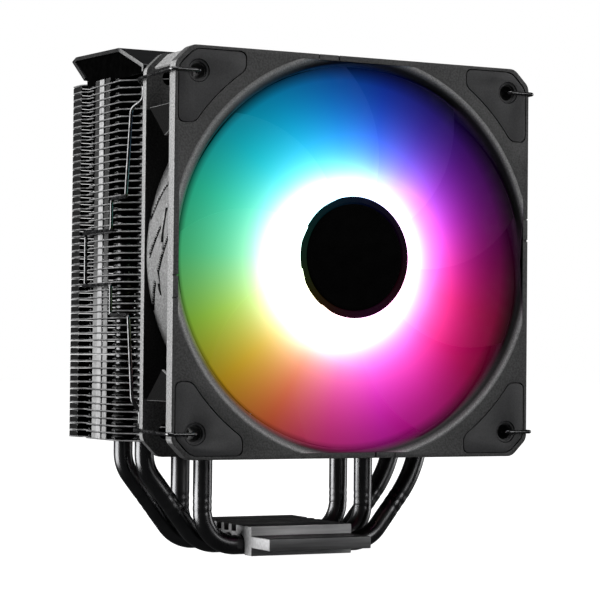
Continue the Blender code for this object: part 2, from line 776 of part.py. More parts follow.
# ---------------------------------------------------------------- wire clips


def clip_half():
    """(outward X, Y, height over the fan's centre) from the hook in a screw hole to the latch."""
    bend = 1.4 * MM
    return [
        (HOLE_OFFSET, CLIP_HOOK_Y, HOLE_OFFSET),
        (HOLE_OFFSET, CLIP_FACE_Y + 0.5 * MM, HOLE_OFFSET),
        (HOLE_OFFSET + 0.5 * MM, CLIP_FACE_Y, HOLE_OFFSET),
        (CLIP_SIDE_X - 1.2 * MM, CLIP_FACE_Y, HOLE_OFFSET),
        (CLIP_SIDE_X - 0.2 * MM, CLIP_FACE_Y + 0.4 * MM, HOLE_OFFSET),
        (CLIP_SIDE_X, CLIP_FACE_Y + 1.6 * MM, HOLE_OFFSET),
        (CLIP_SIDE_X, FAN_REAR_Y - 2.0 * MM, 52.2 * MM),
        (CLIP_SIDE_X - 0.1 * MM, FAN_REAR_Y - 0.4 * MM, 51.6 * MM),
        (CLIP_SIDE_X - 0.9 * MM, FAN_REAR_Y + 0.7 * MM, 50.8 * MM),
        (CLIP_TUCK_X, FAN_REAR_Y + CLIP_TUCK_DEPTH, 49.2 * MM),
        (CLIP_TUCK_X, FAN_REAR_Y + CLIP_TUCK_DEPTH, 46.8 * MM),
        (CLIP_TUCK_X + 0.5 * MM, FAN_REAR_Y + 2.0 * MM, 45.4 * MM),
        (CLIP_SIDE_X - 0.6 * MM, FAN_REAR_Y + 4.2 * MM, 44.0 * MM),
        (CLIP_SIDE_X, FAN_REAR_Y + 5.0 * MM, 42.3 * MM),
        (CLIP_SIDE_X, FAN_REAR_Y + 7.9 * MM, 20.2 * MM),
        (CLIP_SIDE_X - 0.3 * MM, FAN_REAR_Y + 8.9 * MM, CLIP_STEP_Z + 0.4 * MM),
        (CLIP_RUN_X, FAN_REAR_Y + 10.4 * MM, CLIP_STEP_Z),
        (CLIP_RUN_X, CLIP_STEP_Y - bend, CLIP_STEP_Z),
        (CLIP_RUN_X, CLIP_STEP_Y - 0.3 * bend, CLIP_STEP_Z - 0.3 * bend),
        (CLIP_RUN_X, CLIP_STEP_Y, CLIP_STEP_Z - bend),
        (CLIP_RUN_X, CLIP_STEP_Y, CLIP_RUN_Z + bend),
        (CLIP_RUN_X, CLIP_STEP_Y + 0.3 * bend, CLIP_RUN_Z + 0.3 * bend),
        (CLIP_RUN_X, CLIP_STEP_Y + bend, CLIP_RUN_Z),
        (CLIP_RUN_X, NOTCH_FRONT_Y - 1.2 * MM, CLIP_RUN_Z),
        (CLIP_RUN_X - 0.2 * MM, NOTCH_FRONT_Y + 0.4 * MM, CLIP_RUN_Z),
        (CLIP_LATCH_X + 0.5 * MM, CLIP_LATCH_Y - 1.1 * MM, CLIP_RUN_Z),
        (CLIP_LATCH_X + 0.1 * MM, CLIP_LATCH_Y - 0.3 * MM, CLIP_RUN_Z - 0.4 * MM),
        (CLIP_LATCH_X, CLIP_LATCH_Y, CLIP_RUN_Z - 1.2 * MM),
    ]


def make_clips(finish):
    """Each clip swings about the upright line through its two hooks."""
    half = clip_half()
    for name, side in (("left", -1), ("right", 1)):
        hinge = empty(f"{name}_clip_axis", (side * HOLE_OFFSET, CLIP_FACE_Y, FAN_CENTRE_Z))
        path = [(side * x, y, FAN_CENTRE_Z + z) for x, y, z in half]
        path += [(side * x, y, FAN_CENTRE_Z - z) for x, y, z in reversed(half)]
        keep_in_place(wire(f"{name}_wire_clip", path, WIRE_RADIUS, finish), hinge)


def build():
    black_pipe = material("black_pipe", (0.012, 0.012, 0.014), 0.16, 1.0)
    make_base(material("machined_aluminium", (0.30, 0.30, 0.31), 0.34, 1.0))
    make_heat_pipes(black_pipe)
    make_fins(material("black_fin", (0.015, 0.015, 0.016), 0.42, 1.0))
    make_top_cover(material("brushed_cover", (0.045, 0.046, 0.05), 0.30, 1.0))
    make_fan_frame(material("frame_plastic", (0.05, 0.05, 0.052), 0.55))
    make_pads(material("pad_rubber", (0.045, 0.045, 0.047), 0.7))
    steel = material("motor_steel", (0.45, 0.45, 0.46), 0.3, 1.0)
    make_fixed_motor(
        steel,
        material("copper_winding", (0.72, 0.34, 0.16), 0.3, 1.0),
        material("sintered_bronze", (0.45, 0.30, 0.14), 0.5, 1.0),
        material("board", (0.02, 0.10, 0.05), 0.5),
        material("led", (0.9, 0.9, 0.85), 0.3),
    )
    make_rotor(
        material("blade_plastic", (0.75, 0.77, 0.80), 0.35),
        steel,
        material("ferrite", (0.06, 0.06, 0.065), 0.7),
        material("hub_cap_film", (0.03, 0.03, 0.032), 0.35),
    )
    make_clips(material("wire_steel", (0.20, 0.20, 0.21), 0.25, 1.0))


build()
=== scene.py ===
"""CPU tower cooler, the visual model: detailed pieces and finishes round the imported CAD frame.

Lengths are in metres, in the frame's own axes: +Z is up and the fan faces -Y.
"""

import json
import math

import bmesh
import bpy
from mathutils import Matrix, Vector


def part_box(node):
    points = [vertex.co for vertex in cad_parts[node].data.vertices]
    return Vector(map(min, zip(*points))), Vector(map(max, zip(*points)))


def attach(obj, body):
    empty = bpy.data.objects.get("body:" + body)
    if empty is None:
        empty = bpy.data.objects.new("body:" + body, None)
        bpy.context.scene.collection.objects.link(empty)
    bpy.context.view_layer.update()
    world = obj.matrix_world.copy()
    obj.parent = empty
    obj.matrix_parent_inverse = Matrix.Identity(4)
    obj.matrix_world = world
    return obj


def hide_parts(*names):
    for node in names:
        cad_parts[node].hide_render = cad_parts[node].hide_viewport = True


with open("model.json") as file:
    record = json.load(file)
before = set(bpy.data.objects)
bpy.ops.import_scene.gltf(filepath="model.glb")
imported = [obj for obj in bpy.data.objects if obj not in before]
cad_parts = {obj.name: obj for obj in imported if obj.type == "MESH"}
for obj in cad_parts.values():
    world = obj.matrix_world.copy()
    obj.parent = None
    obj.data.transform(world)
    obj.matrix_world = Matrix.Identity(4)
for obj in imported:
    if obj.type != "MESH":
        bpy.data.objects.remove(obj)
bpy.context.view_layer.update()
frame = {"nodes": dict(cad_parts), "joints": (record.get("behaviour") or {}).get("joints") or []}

MM = 0.001
ROOT = "heatsink"
WELD = 0.005 * MM  # outline points closer than this are one
FLAT_ANGLE = 0.01  # faces that meet at less than this, in radians, are one

# The fan's axis and faces, from the frame
FAN_Z = {joint["name"]: joint for joint in frame["joints"]}["fan_spin"]["pos_m"][2]
FRAME_LOW, FRAME_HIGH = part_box("fan_frame")
FACE_Y = FRAME_LOW.y
FAN_HALF = FRAME_HIGH.x
HOLE_OFFSET = 52.5 * MM
HOLE_RADIUS = 2.3 * MM
CORNER_CHAMFER = 5.2 * MM
FRONT_FLANGE = 4 * MM
REAR_FLANGE = 2.5 * MM
MOUTH_RADIUS = 61.4 * MM  # where the bell mouth meets the front face
MOUTH_FLAT = 58.3 * MM  # the mouth is cut flat at the middle of each side
MOUTH_DEPTH = 4.2 * MM
MOUTH_SEGMENTS = 240
THROAT_RADIUS = 57.4 * MM
BARREL_RADIUS = 59.3 * MM
BARREL_WALL = 1.2 * MM
BARREL_START = FRONT_FLANGE - 0.3 * MM
BARREL_REAR = FRAME_HIGH.y - FACE_Y - REAR_FLANGE / 2
BARREL_SEGMENTS = 1200
BARREL_ROWS = 44
TAB_CUTS = ((6.8 * MM, 0.5 * MM), (13.4 * MM, 0.35 * MM))  # place along the side, and width

# Corner pads
PAD_ARC_RADIUS = 65.5 * MM
PAD_REACH = 37.5 * MM
PAD_MARGIN = 1.2 * MM
PAD_DEPTH = 1.0 * MM
PAD_HOLE_RADIUS = 3.4 * MM
PAD_CORNER = 2.2 * MM

# Rotor
HUB_RADIUS = 19 * MM
HUB_FRONT_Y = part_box("impeller")[0].y
HUB_REAR_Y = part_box("impeller")[1].y
BLADES = 9
BLADE_TIP_RADIUS = 57.2 * MM

# Fins
FIN_BLOCKS = 3
FINS_PER_BLOCK = 17
FIN_PITCH = 2.2 * MM
FIN_SHEET = 0.4 * MM
FIN_LOW, FIN_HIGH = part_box("fin_block_1")
FIN_FIRST_Z = FIN_LOW.z + FIN_SHEET / 2
FIN_HALF = FIN_HIGH.x
FIN_FRONT_Y = FIN_LOW.y
FIN_BACK_Y = FIN_HIGH.y
FIN_CORNER_CUT = (19 * MM, 20 * MM)
NOTCH_DEPTH = 2.6 * MM
FIN_BACK_INSET = 0.6 * MM
FIN_BACK_SHOULDER_Y = 24 * MM
TOP_FIN_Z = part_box("top_fin")[1].z - FIN_SHEET / 2
FLAP_THICKNESS = 0.35 * MM
FLAP_HEIGHT = FIN_PITCH - FLAP_THICKNESS
SIDE_FLAPS = (-1.5 * MM, 10.5 * MM)  # the stretch of the fin's side that carries its three flaps
MIDDLE_FLAP = (2.4 * MM, 6.1 * MM)

# Heat pipes
PIPE_RADIUS = 3 * MM
PIPE_PITCH = 8.6 * MM
PIPE_TOP_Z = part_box("heat_pipe_1")[1].z
PIPE_TIP = 1 * MM  # the rounded end
INNER_LEG_X = 30.5 * MM
INNER_BEND = 11 * MM
OUTER_LEG_X = 46.5 * MM
OUTER_CORNER_Z = 27 * MM  # where the leg's upright and sloping runs would cross
OUTER_BEND_LEFT = 12 * MM
OUTER_BEND_RIGHT = 36 * MM
OUTER_LOWER_BEND = 11.5 * MM
OUTER_LEAN = math.radians(38)

# Base
BASE_LOW, BASE_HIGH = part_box("base_block")
BASE_HALF_X = BASE_HIGH.x
BASE_HALF_Y = 21 * MM
EAR_LOW_Z = 2.5 * MM
EAR_HIGH_Z = 6.2 * MM
EAR_HOLE_X = 12 * MM
EAR_HOLE_Y = 27.5 * MM
SLOT_PITCH = 5.5 * MM
SLOT_HALF = 1.5 * MM
SLOT_DEPTH = 2.3 * MM

# Cover
COVER_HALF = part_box("top_cover")[1].x
COVER_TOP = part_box("top_cover")[1].z
COVER_SHEET = 1.2 * MM

WIRE_RADIUS = 0.55 * MM


# -------- camera, light, floor


def linked(name, data):
    obj = bpy.data.objects.new(name, data)
    bpy.context.scene.collection.objects.link(obj)
    return obj


def make_camera():
    azimuth, elevation, roll = math.radians(-26.82), math.radians(-1.45), math.radians(0.56)
    distance = 719.8 * MM
    target = Vector((9.18 * MM, 0, FAN_Z - 11.6 * MM))
    level = math.cos(elevation)
    back = Vector((math.sin(azimuth) * level, -math.cos(azimuth) * level, math.sin(elevation)))
    data = bpy.data.cameras.new("camera")
    data.sensor_width = 36
    data.lens = 133.69
    camera = linked("camera", data)
    turned = back.to_track_quat("Z", "Y").to_matrix().to_4x4() @ Matrix.Rotation(roll, 4, "Z")
    camera.matrix_world = Matrix.Translation(target + back * distance) @ turned
    bpy.context.scene.camera = camera


def softbox(name, place, size, power):
    """A square lamp turned to the middle of the cooler."""
    data = bpy.data.lights.new(name, "AREA")
    data.shape = "RECTANGLE"
    data.size, data.size_y = size
    data.energy = power
    lamp = linked(name, data)
    lamp.location = place
    lamp.rotation_euler = (Vector(place) - Vector((0, 0, 0.08))).to_track_quat("Z", "Y").to_euler()


def make_studio():
    """Soft lamps in a dim room, whose walls look white to the camera."""
    softbox("left_softbox", (-0.86, 0.27, 0.14), (0.75, 0.95), 24.0)
    softbox("top_softbox", (-0.1, -0.15, 0.85), (0.6, 0.45), 4.0)
    softbox("front_softbox", (0.45, -0.95, 0.3), (0.4, 0.5), 2.4)
    softbox("right_softbox", (0.8, -0.1, 0.12), (0.3, 0.6), 2.5)
    world = bpy.data.worlds.new("studio")
    bpy.context.scene.world = world
    world.use_nodes = True
    tree = world.node_tree
    tree.nodes.clear()
    output = tree.nodes.new("ShaderNodeOutputWorld")
    mix = tree.nodes.new("ShaderNodeMixShader")
    ray = tree.nodes.new("ShaderNodeLightPath")
    tree.links.new(ray.outputs["Is Camera Ray"], mix.inputs[0])
    for i, (colour, strength) in enumerate((((0.5, 0.51, 0.53), 0.1), ((1, 1, 1), 1.0))):
        wall = tree.nodes.new("ShaderNodeBackground")
        wall.inputs["Color"].default_value = (*colour, 1)
        wall.inputs["Strength"].default_value = strength
        tree.links.new(wall.outputs[0], mix.inputs[i + 1])
    tree.links.new(mix.outputs[0], output.inputs["Surface"])
    bpy.context.scene.view_settings.view_transform = "Standard"


def make_floor():
    bm = bmesh.new()
    bmesh.ops.create_grid(bm, x_segments=2, y_segments=2, size=4.0)
    mesh = as_mesh(bm, "studio_floor")
    floor = linked("studio_floor", mesh)
    finish = Finish("studio_floor", (0.35, 0.35, 0.35), 0.9, Specular_IOR_Level=0.0, Emission_Strength=1.0)
    finish.shader.inputs["Emission Color"].default_value = (1, 1, 1, 1)
    mesh.materials.append(finish.material)
    floor.visible_glossy = False
    floor.visible_diffuse = False


# -------- materials


class Finish:
    """A Principled material and short calls that add procedural detail to it.

    A noise is given as (features per metre, detail), and a stretch along each axis if it has one.
    """

    def __init__(self, name, colour, roughness, metallic=0.0, **sockets):
        self.material = bpy.data.materials.new(name)
        self.material.use_nodes = True
        self.tree = self.material.node_tree
        self.shader = self.tree.nodes["Principled BSDF"]
        self.shader.inputs["Base Color"].default_value = (*colour, 1)
        for socket, value in {"Roughness": roughness, "Metallic": metallic, **sockets}.items():
            self.shader.inputs[socket.replace("_", " ")].default_value = value
        self.place = self.node("ShaderNodeTexCoord").outputs["Object"]

    def node(self, kind):
        return self.tree.nodes.new(kind)

    def link(self, start, end):
        self.tree.links.new(start, end)

    def axes(self):
        split = self.node("ShaderNodeSeparateXYZ")
        self.link(self.place, split.inputs[0])
        return split.outputs

    def math(self, operation, *values):
        node = self.node("ShaderNodeMath")
        node.operation = operation
        for socket, value in zip(node.inputs, values):
            if isinstance(value, (int, float)):
                socket.default_value = value
            else:
                self.link(value, socket)
        return node.outputs[0]

    def noise(self, scale, detail, stretch=(1, 1, 1)):
        mapping = self.node("ShaderNodeMapping")
        mapping.inputs["Scale"].default_value = stretch
        self.link(self.place, mapping.inputs["Vector"])
        noise = self.node("ShaderNodeTexNoise")
        noise.inputs["Scale"].default_value = scale
        noise.inputs["Detail"].default_value = detail
        self.link(mapping.outputs[0], noise.inputs["Vector"])
        return noise.outputs["Fac"]

    def ramp(self, factor, stops):
        ramp = self.node("ShaderNodeValToRGB")
        elements = ramp.color_ramp.elements
        while len(elements) < len(stops):
            elements.new(0.5)
        for element, (position, colour) in zip(elements, stops):
            element.position = position
            element.color = (*colour, 1) if isinstance(colour, tuple) else (colour, colour, colour, 1)
        self.link(factor, ramp.inputs[0])
        return ramp.outputs[0]

    def colour(self, factor, low, high, start=0.3, end=0.7):
        """Base colour running from low to high as the factor goes from start to end."""
        self.link(self.ramp(factor, [(start, low), (end, high)]), self.shader.inputs["Base Color"])

    def mottled(self, shade, grain, low, high, start=0.3):
        """Base colour: a shade that the grain scales by a factor from low to high."""
        factor = self.ramp(self.noise(*grain), [(start, low), (1 - start, high)])
        self.link(self.math("MULTIPLY", shade, factor), self.shader.inputs["Base Color"])

    def roughness(self, gloss, low, high, start=0.3, end=0.7):
        rough = self.ramp(self.noise(*gloss), [(start, low), (end, high)])
        self.link(rough, self.shader.inputs["Roughness"])

    def bump(self, height, distance, strength):
        bump = self.node("ShaderNodeBump")
        bump.inputs["Strength"].default_value = strength
        bump.inputs["Distance"].default_value = distance
        self.link(height, bump.inputs["Height"])
        previous = self.shader.inputs["Normal"].links
        if previous:
            self.link(previous[0].from_socket, bump.inputs["Normal"])
        self.link(bump.outputs[0], self.shader.inputs["Normal"])

    def surface(self, gloss, rough, relief, distance=0.02 * MM, strength=0.4):
        """Roughness that follows one noise, and relief that follows another."""
        self.roughness(gloss, *rough)
        self.bump(self.noise(*relief), distance, strength)
        return self.material


def textured(name, low, high, grain, gloss, rough, relief, distance=0.02 * MM, strength=0.4, **sockets):
    """A finish whose colour, gloss and relief each follow a noise."""
    finish = Finish(name, low, rough[0], **sockets)
    finish.colour(finish.noise(*grain), low, high)
    return finish.surface(gloss, rough, relief, distance, strength)


def grained_plastic(name="frame_plastic", tone=1.0, specular=0.4, fade=None):
    """Spark-eroded moulding: fine pits, a lighter mottling and slow changes of gloss."""
    finish = Finish(name, (0.05, 0.05, 0.052), 0.5, Specular_IOR_Level=specular)
    pits = (1700, 4)
    # the tone makes lighter copies of the plastic as painted highlight and darker ones as painted shade
    shade = finish.ramp(finish.noise(*pits), [(0.35, 0.034 * tone), (0.65, 0.078 * tone)])
    # the fade paints light and shade across the part
    if fade:
        shade = finish.math("MULTIPLY", shade, fade(finish))
    finish.link(shade, finish.shader.inputs["Base Color"])
    finish.surface((60, 2), (0.42, 0.56), pits, 0.12 * MM, 0.6)
    finish.bump(finish.noise(420, 2), 0.1 * MM, 0.25)
    return finish.material


def off_axis(finish):
    """Sideways place and height over the fan's axis."""
    x, _, z = finish.axes()
    return x, finish.math("SUBTRACT", z, FAN_Z)


def painted_shade_on_sides(finish):
    """Painted shade: darker along the frame's sides, in the shadow between the flanges, than in its four
    corners.
    """
    across, up = (finish.math("ABSOLUTE", value) for value in off_axis(finish))
    corner = finish.math("DIVIDE", finish.math("MINIMUM", across, up), 100 * MM)
    return finish.ramp(corner, [(0.427, 0.12), (0.431, 1.0)])


def painted_light_band(finish):
    """Painted light on the barrel: bright at the height of the fan's axis, fading into painted shade above
    and more below.
    """
    share = finish.math("MULTIPLY_ADD", off_axis(finish)[1], 10.0, 0.5)
    return finish.ramp(share, [(0.02, 0.1), (0.28, 0.9), (0.6, 1.0), (0.95, 0.35)])


def pad_rubber():
    return textured(
        "pad_rubber", (0.034, 0.034, 0.036), (0.054, 0.054, 0.056), (2600, 3), (90, 3), (0.5, 0.68),
        (2600, 3), 0.03 * MM, 0.5, Sheen_Weight=0.15,
    )


def coated_fin(name, low, high, roughness, specular=0.2):
    """Black lacquer on thin sheet: fine rolling lines and small changes of gloss."""
    rolling_lines = (500, 3, (0.15, 1, 1))
    rough = (roughness - 0.08, roughness + 0.1)
    return textured(
        name, low, high, rolling_lines, (160, 3), rough, (1500, 3), Specular_IOR_Level=specular
    )


def brushed(name, low, high, stretch, metallic, rough):
    """Brushed metal: long fine scratches along one axis."""
    scratches = (900, 5, stretch)
    return textured(
        name, low, high, scratches, (90, 2), rough, scratches, strength=0.5, metallic=metallic,
        Anisotropic=0.4,
    )


def side_flap_painted_light():
    """Flaps beside the middle one, with painted light: nearly black at the top of the stack, bright low
    down.
    """
    finish = Finish("black_fin_side_flap", (0.1, 0.1, 0.1), 0.45, Specular_IOR_Level=0.1)
    share = finish.math("DIVIDE", finish.axes()[2], TOP_FIN_Z)
    finish.mottled(finish.ramp(share, [(0.42, 0.26), (0.62, 0.05), (0.8, 0.022)]), (900, 3), 0.75, 1.2)
    return finish.surface((260, 3), (0.38, 0.52), (1500, 3))


def cut_edge():
    """The cover's sheet end, with a painted highlight: dark along the top, brighter down the front slope.
    """
    finish = Finish("cover_cut_edge", (0.02, 0.02, 0.02), 0.4, 0.3, Specular_IOR_Level=0.3)
    along = finish.math("MULTIPLY_ADD", finish.axes()[1], 10.0, 0.5)
    finish.mottled(finish.ramp(along, [(0.40, 0.16), (0.43, 0.012)]), (900, 3), 0.8, 1.2)
    return finish.surface((260, 3), (0.3, 0.45), (1800, 3))


def black_pipe():
    """Black nickel: satin gloss, with faint waviness, drawing lines and a few dull rubs."""
    drawing_lines = (260, 4, (1, 1, 0.2))
    return textured(
        "black_pipe", (0.065, 0.065, 0.067), (0.10, 0.10, 0.102), (120, 3), drawing_lines,
        (0.26, 0.36, 0.4, 0.75), (160, 2), 0.1 * MM, 0.25, metallic=1.0,
    )


def black_wire():
    return textured(
        "wire_steel", (0.06, 0.06, 0.061), (0.12, 0.12, 0.122), (700, 3), (400, 3), (0.16, 0.34), (1200, 2),
        metallic=1.0,
    )


def speckled(name, low, high, roughness, metallic=0.0, scale=900, distance=0.02 * MM, specular=0.5):
    """A plain finish with fine speckle."""
    rough = (max(roughness - 0.08, 0.05), roughness + 0.1)
    return textured(
        name, low, high, (scale, 4), (scale / 6, 3), rough, (scale, 4), distance, 0.5, metallic=metallic,
        Specular_IOR_Level=specular,
    )


def wound_copper():
    """Enamelled turns side by side, running round each pole."""
    finish = Finish("copper_wire", (0.72, 0.34, 0.15), 0.28, 1.0)
    wave = finish.node("ShaderNodeTexWave")
    wave.bands_direction = "Y"
    wave.inputs["Scale"].default_value = 700
    wave.inputs["Distortion"].default_value = 0.6
    finish.link(finish.place, wave.inputs["Vector"])
    turns = wave.outputs["Fac"]
    finish.colour(turns, (0.32, 0.12, 0.04), (0.78, 0.38, 0.17), 0.1, 0.7)
    finish.roughness((500, 2), 0.22, 0.4)
    finish.bump(turns, 0.1 * MM, 0.7)
    return finish.material


# Colours of the light in the blades, every 20 degrees from the right-hand side by way of the top
BLADE_LIGHT = [
    (0.47, 0.013, 0.25), (0.34, 0.017, 0.38), (0.24, 0.03, 0.50), (0.12, 0.07, 0.67), (0.04, 0.15, 0.89),
    (0.016, 0.33, 0.92), (0.012, 0.57, 0.94), (0.02, 0.73, 0.84), (0.10, 0.88, 0.62), (0.22, 0.88, 0.46),
    (0.53, 0.84, 0.16), (0.84, 0.58, 0.06), (0.90, 0.26, 0.13), (0.94, 0.11, 0.44), (0.96, 0.06, 0.68),
    (0.95, 0.045, 0.52), (0.86, 0.022, 0.26), (0.69, 0.014, 0.19), (0.47, 0.013, 0.25),
]
LIGHT_RADIUS = 38 * MM  # where those colours hold
DEEPENING = 23.0  # how much the colours' gamma grows for each metre outwards
BRIGHT_SIDE = math.radians(202)  # the direction in which the light reaches furthest
LIGHT_LEAN = -math.tan(math.radians(26.8))  # sideways shift of the light for each metre of depth


class FanLight:
    """The hub's light in the blades: a hue for each direction, fading outwards from white."""

    def __init__(self, finish):
        self.finish = finish
        calc = finish.math
        x, y, z = finish.axes()
        x = calc("MULTIPLY_ADD", calc("SUBTRACT", y, FACE_Y), LIGHT_LEAN, x)
        z = calc("SUBTRACT", z, FAN_Z)
        self.radius = calc("SQRT", calc("ADD", calc("MULTIPLY", x, x), calc("MULTIPLY", z, z)))
        self.turn = calc("ARCTAN2", z, x)
        share = calc("FRACT", calc("ADD", calc("DIVIDE", self.turn, 2 * math.pi), 1.0))
        last = len(BLADE_LIGHT) - 1
        self.hue = finish.ramp(share, [(i / last, colour) for i, colour in enumerate(BLADE_LIGHT)])

    def vector(self, operation, first, second):
        node = self.finish.node("ShaderNodeVectorMath")
        node.operation = operation
        self.finish.link(first, node.inputs[0])
        self.finish.link(second, node.inputs["Scale"] if operation == "SCALE" else node.inputs[1])
        return node.outputs[0]

    def within(self, stops):
        """A factor for each radius in millimetres."""
        share = self.finish.math("DIVIDE", self.radius, 100 * MM)
        return self.finish.ramp(share, [(radius / 100, value) for radius, value in stops])

    def fall_off(self, edge, reach):
        calc = self.finish.math
        return calc("EXPONENT", calc("DIVIDE", calc("SUBTRACT", edge, self.radius), reach))

    def full(self):
        calc = self.finish.math
        side = calc("MULTIPLY_ADD", calc("COSINE", calc("SUBTRACT", self.turn, BRIGHT_SIDE)), 0.5, 0.5)
        # a white glow round the hub, wider on the bright side
        glow_edge = calc("MULTIPLY_ADD", calc("POWER", side, 1.6), 10.4 * MM, 21.5 * MM)
        glow = self.fall_off(glow_edge, calc("MULTIPLY_ADD", side, 0.7 * MM, 2.6 * MM))
        # the hues, which fade and deepen towards the rim
        reach = calc("MULTIPLY_ADD", calc("POWER", side, 1.3), 15 * MM, 9 * MM)
        fade = calc("MINIMUM", self.fall_off(LIGHT_RADIUS, reach), 3.0)
        deepen = self.finish.node("ShaderNodeGamma")
        self.finish.link(self.hue, deepen.inputs["Color"])
        gamma = calc("MULTIPLY_ADD", self.radius, DEEPENING, 1 - DEEPENING * LIGHT_RADIUS)
        self.finish.link(gamma, deepen.inputs["Gamma"])
        coloured = self.vector("SCALE", deepen.outputs[0], fade)
        light = self.vector("ADD", coloured, calc("MINIMUM", glow, 1.5))
        # it ends softly on the dark side and close to the mouth on the bright side
        end = calc("MULTIPLY_ADD", side, 2.4 * MM, 57.4 * MM)
        width = calc("MULTIPLY_ADD", side, -5 * MM, 7 * MM)
        share = calc("DIVIDE", calc("SUBTRACT", end, self.radius), width)
        return self.vector("SCALE", light, calc("MINIMUM", calc("MAXIMUM", share, 0.0), 1.0))

    def shine(self, light):
        self.finish.link(light, self.finish.shader.inputs["Emission Color"])
        self.finish.shader.inputs["Emission Strength"].default_value = 1.0


def blade_plastic():
    finish = Finish("blade_plastic", (0.005, 0.005, 0.005), 0.5, Specular_IOR_Level=0.04)
    light = FanLight(finish)
    light.shine(light.full())
    return finish.surface((300, 3), (0.42, 0.58), (1400, 3))


def hub_plastic():
    """Near black, with a faint trace of the blades' light at the rim."""
    finish = Finish("hub_plastic", (0.002, 0.002, 0.002), 0.5, Specular_IOR_Level=0.03)
    light = FanLight(finish)
    light.shine(light.vector("SCALE", light.hue, light.within([(12, 0.0), (19, 0.016)])))
    return finish.surface((300, 3), (0.42, 0.58), (1400, 3))


def mouth_plastic():
    """The frame's plastic in the mouth and throat: dark, with a painted highlight round the rim, and a
    painted glow of the blades' light near them.
    """
    finish = Finish("mouth_plastic", (0.05, 0.05, 0.052), 0.5, Specular_IOR_Level=0.2)
    light = FanLight(finish)
    pits = (2600, 4)
    # painted highlight: the band round the rim is lighter than the throat
    tone = light.within([(58.9, 0.012), (59.8, 0.16), (60.6, 0.42), (61.4, 0.2)])
    finish.mottled(tone, pits, 0.7, 1.3, 0.35)
    light.shine(light.full())
    return finish.surface((60, 2), (0.42, 0.55), pits, 0.08 * MM, 0.5)


# -------- mesh helpers


def as_mesh(bm, name="step"):
    mesh = bpy.data.meshes.new(name)
    bm.to_mesh(mesh)
    bm.free()
    return mesh


def evaluated(obj):
    """The mesh that the object's curve or modifiers make. The object goes."""
    bpy.context.view_layer.update()
    mesh = bpy.data.meshes.new_from_object(obj.evaluated_get(bpy.context.evaluated_depsgraph_get()))
    bpy.data.objects.remove(obj, do_unlink=True)
    bm = bmesh.new()
    bm.from_mesh(mesh)
    return bm


def moved(bm, matrix):
    bmesh.ops.transform(bm, matrix=matrix, verts=bm.verts)
    return bm


def join_outlines(outlines, thickness, place=Matrix.Identity(4)):
    """A welded plate from closed 2D outlines: the first is the rim, the rest are holes."""
    curve = bpy.data.curves.new("outline", "CURVE")
    curve.dimensions = "2D"
    curve.fill_mode = "BOTH"
    curve.extrude = thickness / 2
    for outline in outlines:
        spline = curve.splines.new("POLY")
        spline.points.add(len(outline) - 1)
        for point, (x, y) in zip(spline.points, outline):
            point.co = (x, y, 0.0, 1.0)
        spline.use_cyclic_u = True
    bm = evaluated(linked("outline", curve))
    bmesh.ops.remove_doubles(bm, verts=bm.verts, dist=WELD)
    bmesh.ops.dissolve_limit(bm, angle_limit=FLAT_ANGLE, verts=bm.verts, edges=bm.edges)
    bmesh.ops.recalc_face_normals(bm, faces=bm.faces)
    return moved(bm, place)


def round_edges(bm, width, segments=2, angle=50):
    """Bevels the edges that are sharper than the angle."""
    sharp = [e for e in bm.edges if len(e.link_faces) == 2 and e.calc_face_angle(0) > math.radians(angle)]
    bmesh.ops.bevel(
        bm, geom=sharp, offset=width, segments=segments, profile=0.6, affect="EDGES", clamp_overlap=True
    )
    return bm


def add_mesh(bm, other):
    """Moves all of the other mesh into this one."""
    mesh = as_mesh(other)
    bm.from_mesh(mesh)
    bpy.data.meshes.remove(mesh)
    return bm


def skinned(rings, closed=False):
    """Faces between rings of equally many points. Closed joins the last ring to the first."""
    bm = bmesh.new()
    made = [[bm.verts.new(point) for point in ring] for ring in rings]
    count = len(made[0])
    pairs = list(zip(made, made[1:])) + ([(made[-1], made[0])] if closed else [])
    for low, high in pairs:
        for i in range(count):
            j = (i + 1) % count
            bm.faces.new((low[i], low[j], high[j], high[i]))
    if not closed:
        bm.faces.new(made[0][::-1])
        bm.faces.new(made[-1])
    return bm


def lathe(profile, segments, place, closed=True):
    """Rings for a profile of (radius, height) about local Z; a closed profile gives a ring shape."""
    rings = []
    for radius, height in profile:
        rings.append([place @ Vector((x, y, height)) for x, y in circle(radius, segments)])
    return skinned(rings, closed)


def box(low, high):
    bm = bmesh.new()
    low, high = Vector(low), Vector(high)
    place = Matrix.Translation((low + high) / 2) @ Matrix.Diagonal((*(high - low), 1.0))
    bmesh.ops.create_cube(bm, size=1.0, matrix=place)
    return bm


def circle(radius, segments, centre=(0.0, 0.0)):
    turns = [2 * math.pi * i / segments for i in range(segments)]
    return [(centre[0] + radius * math.cos(t), centre[1] + radius * math.sin(t)) for t in turns]


def arc(centre, radius, start, end, steps):
    turns = [start + (end - start) * i / steps for i in range(steps + 1)]
    return [(centre[0] + radius * math.cos(t), centre[1] + radius * math.sin(t)) for t in turns]


def rounded(points, radius, steps=5, cyclic=True):
    """Rounds the corners of a polyline of 2D or 3D points."""
    points = [Vector(p) for p in points]
    count = len(points)
    result = []
    for i, corner in enumerate(points):
        if not cyclic and i in (0, count - 1):
            result.append(tuple(corner))
            continue
        before, after = points[i - 1] - corner, points[(i + 1) % count] - corner
        cut = min(radius, before.length * 0.45, after.length * 0.45)
        start, end = corner + before.normalized() * cut, corner + after.normalized() * cut
        for k in range(steps + 1):
            t = k / steps
            result.append(tuple(start * (1 - t) ** 2 + corner * (2 * t * (1 - t)) + end * t**2))
    return result


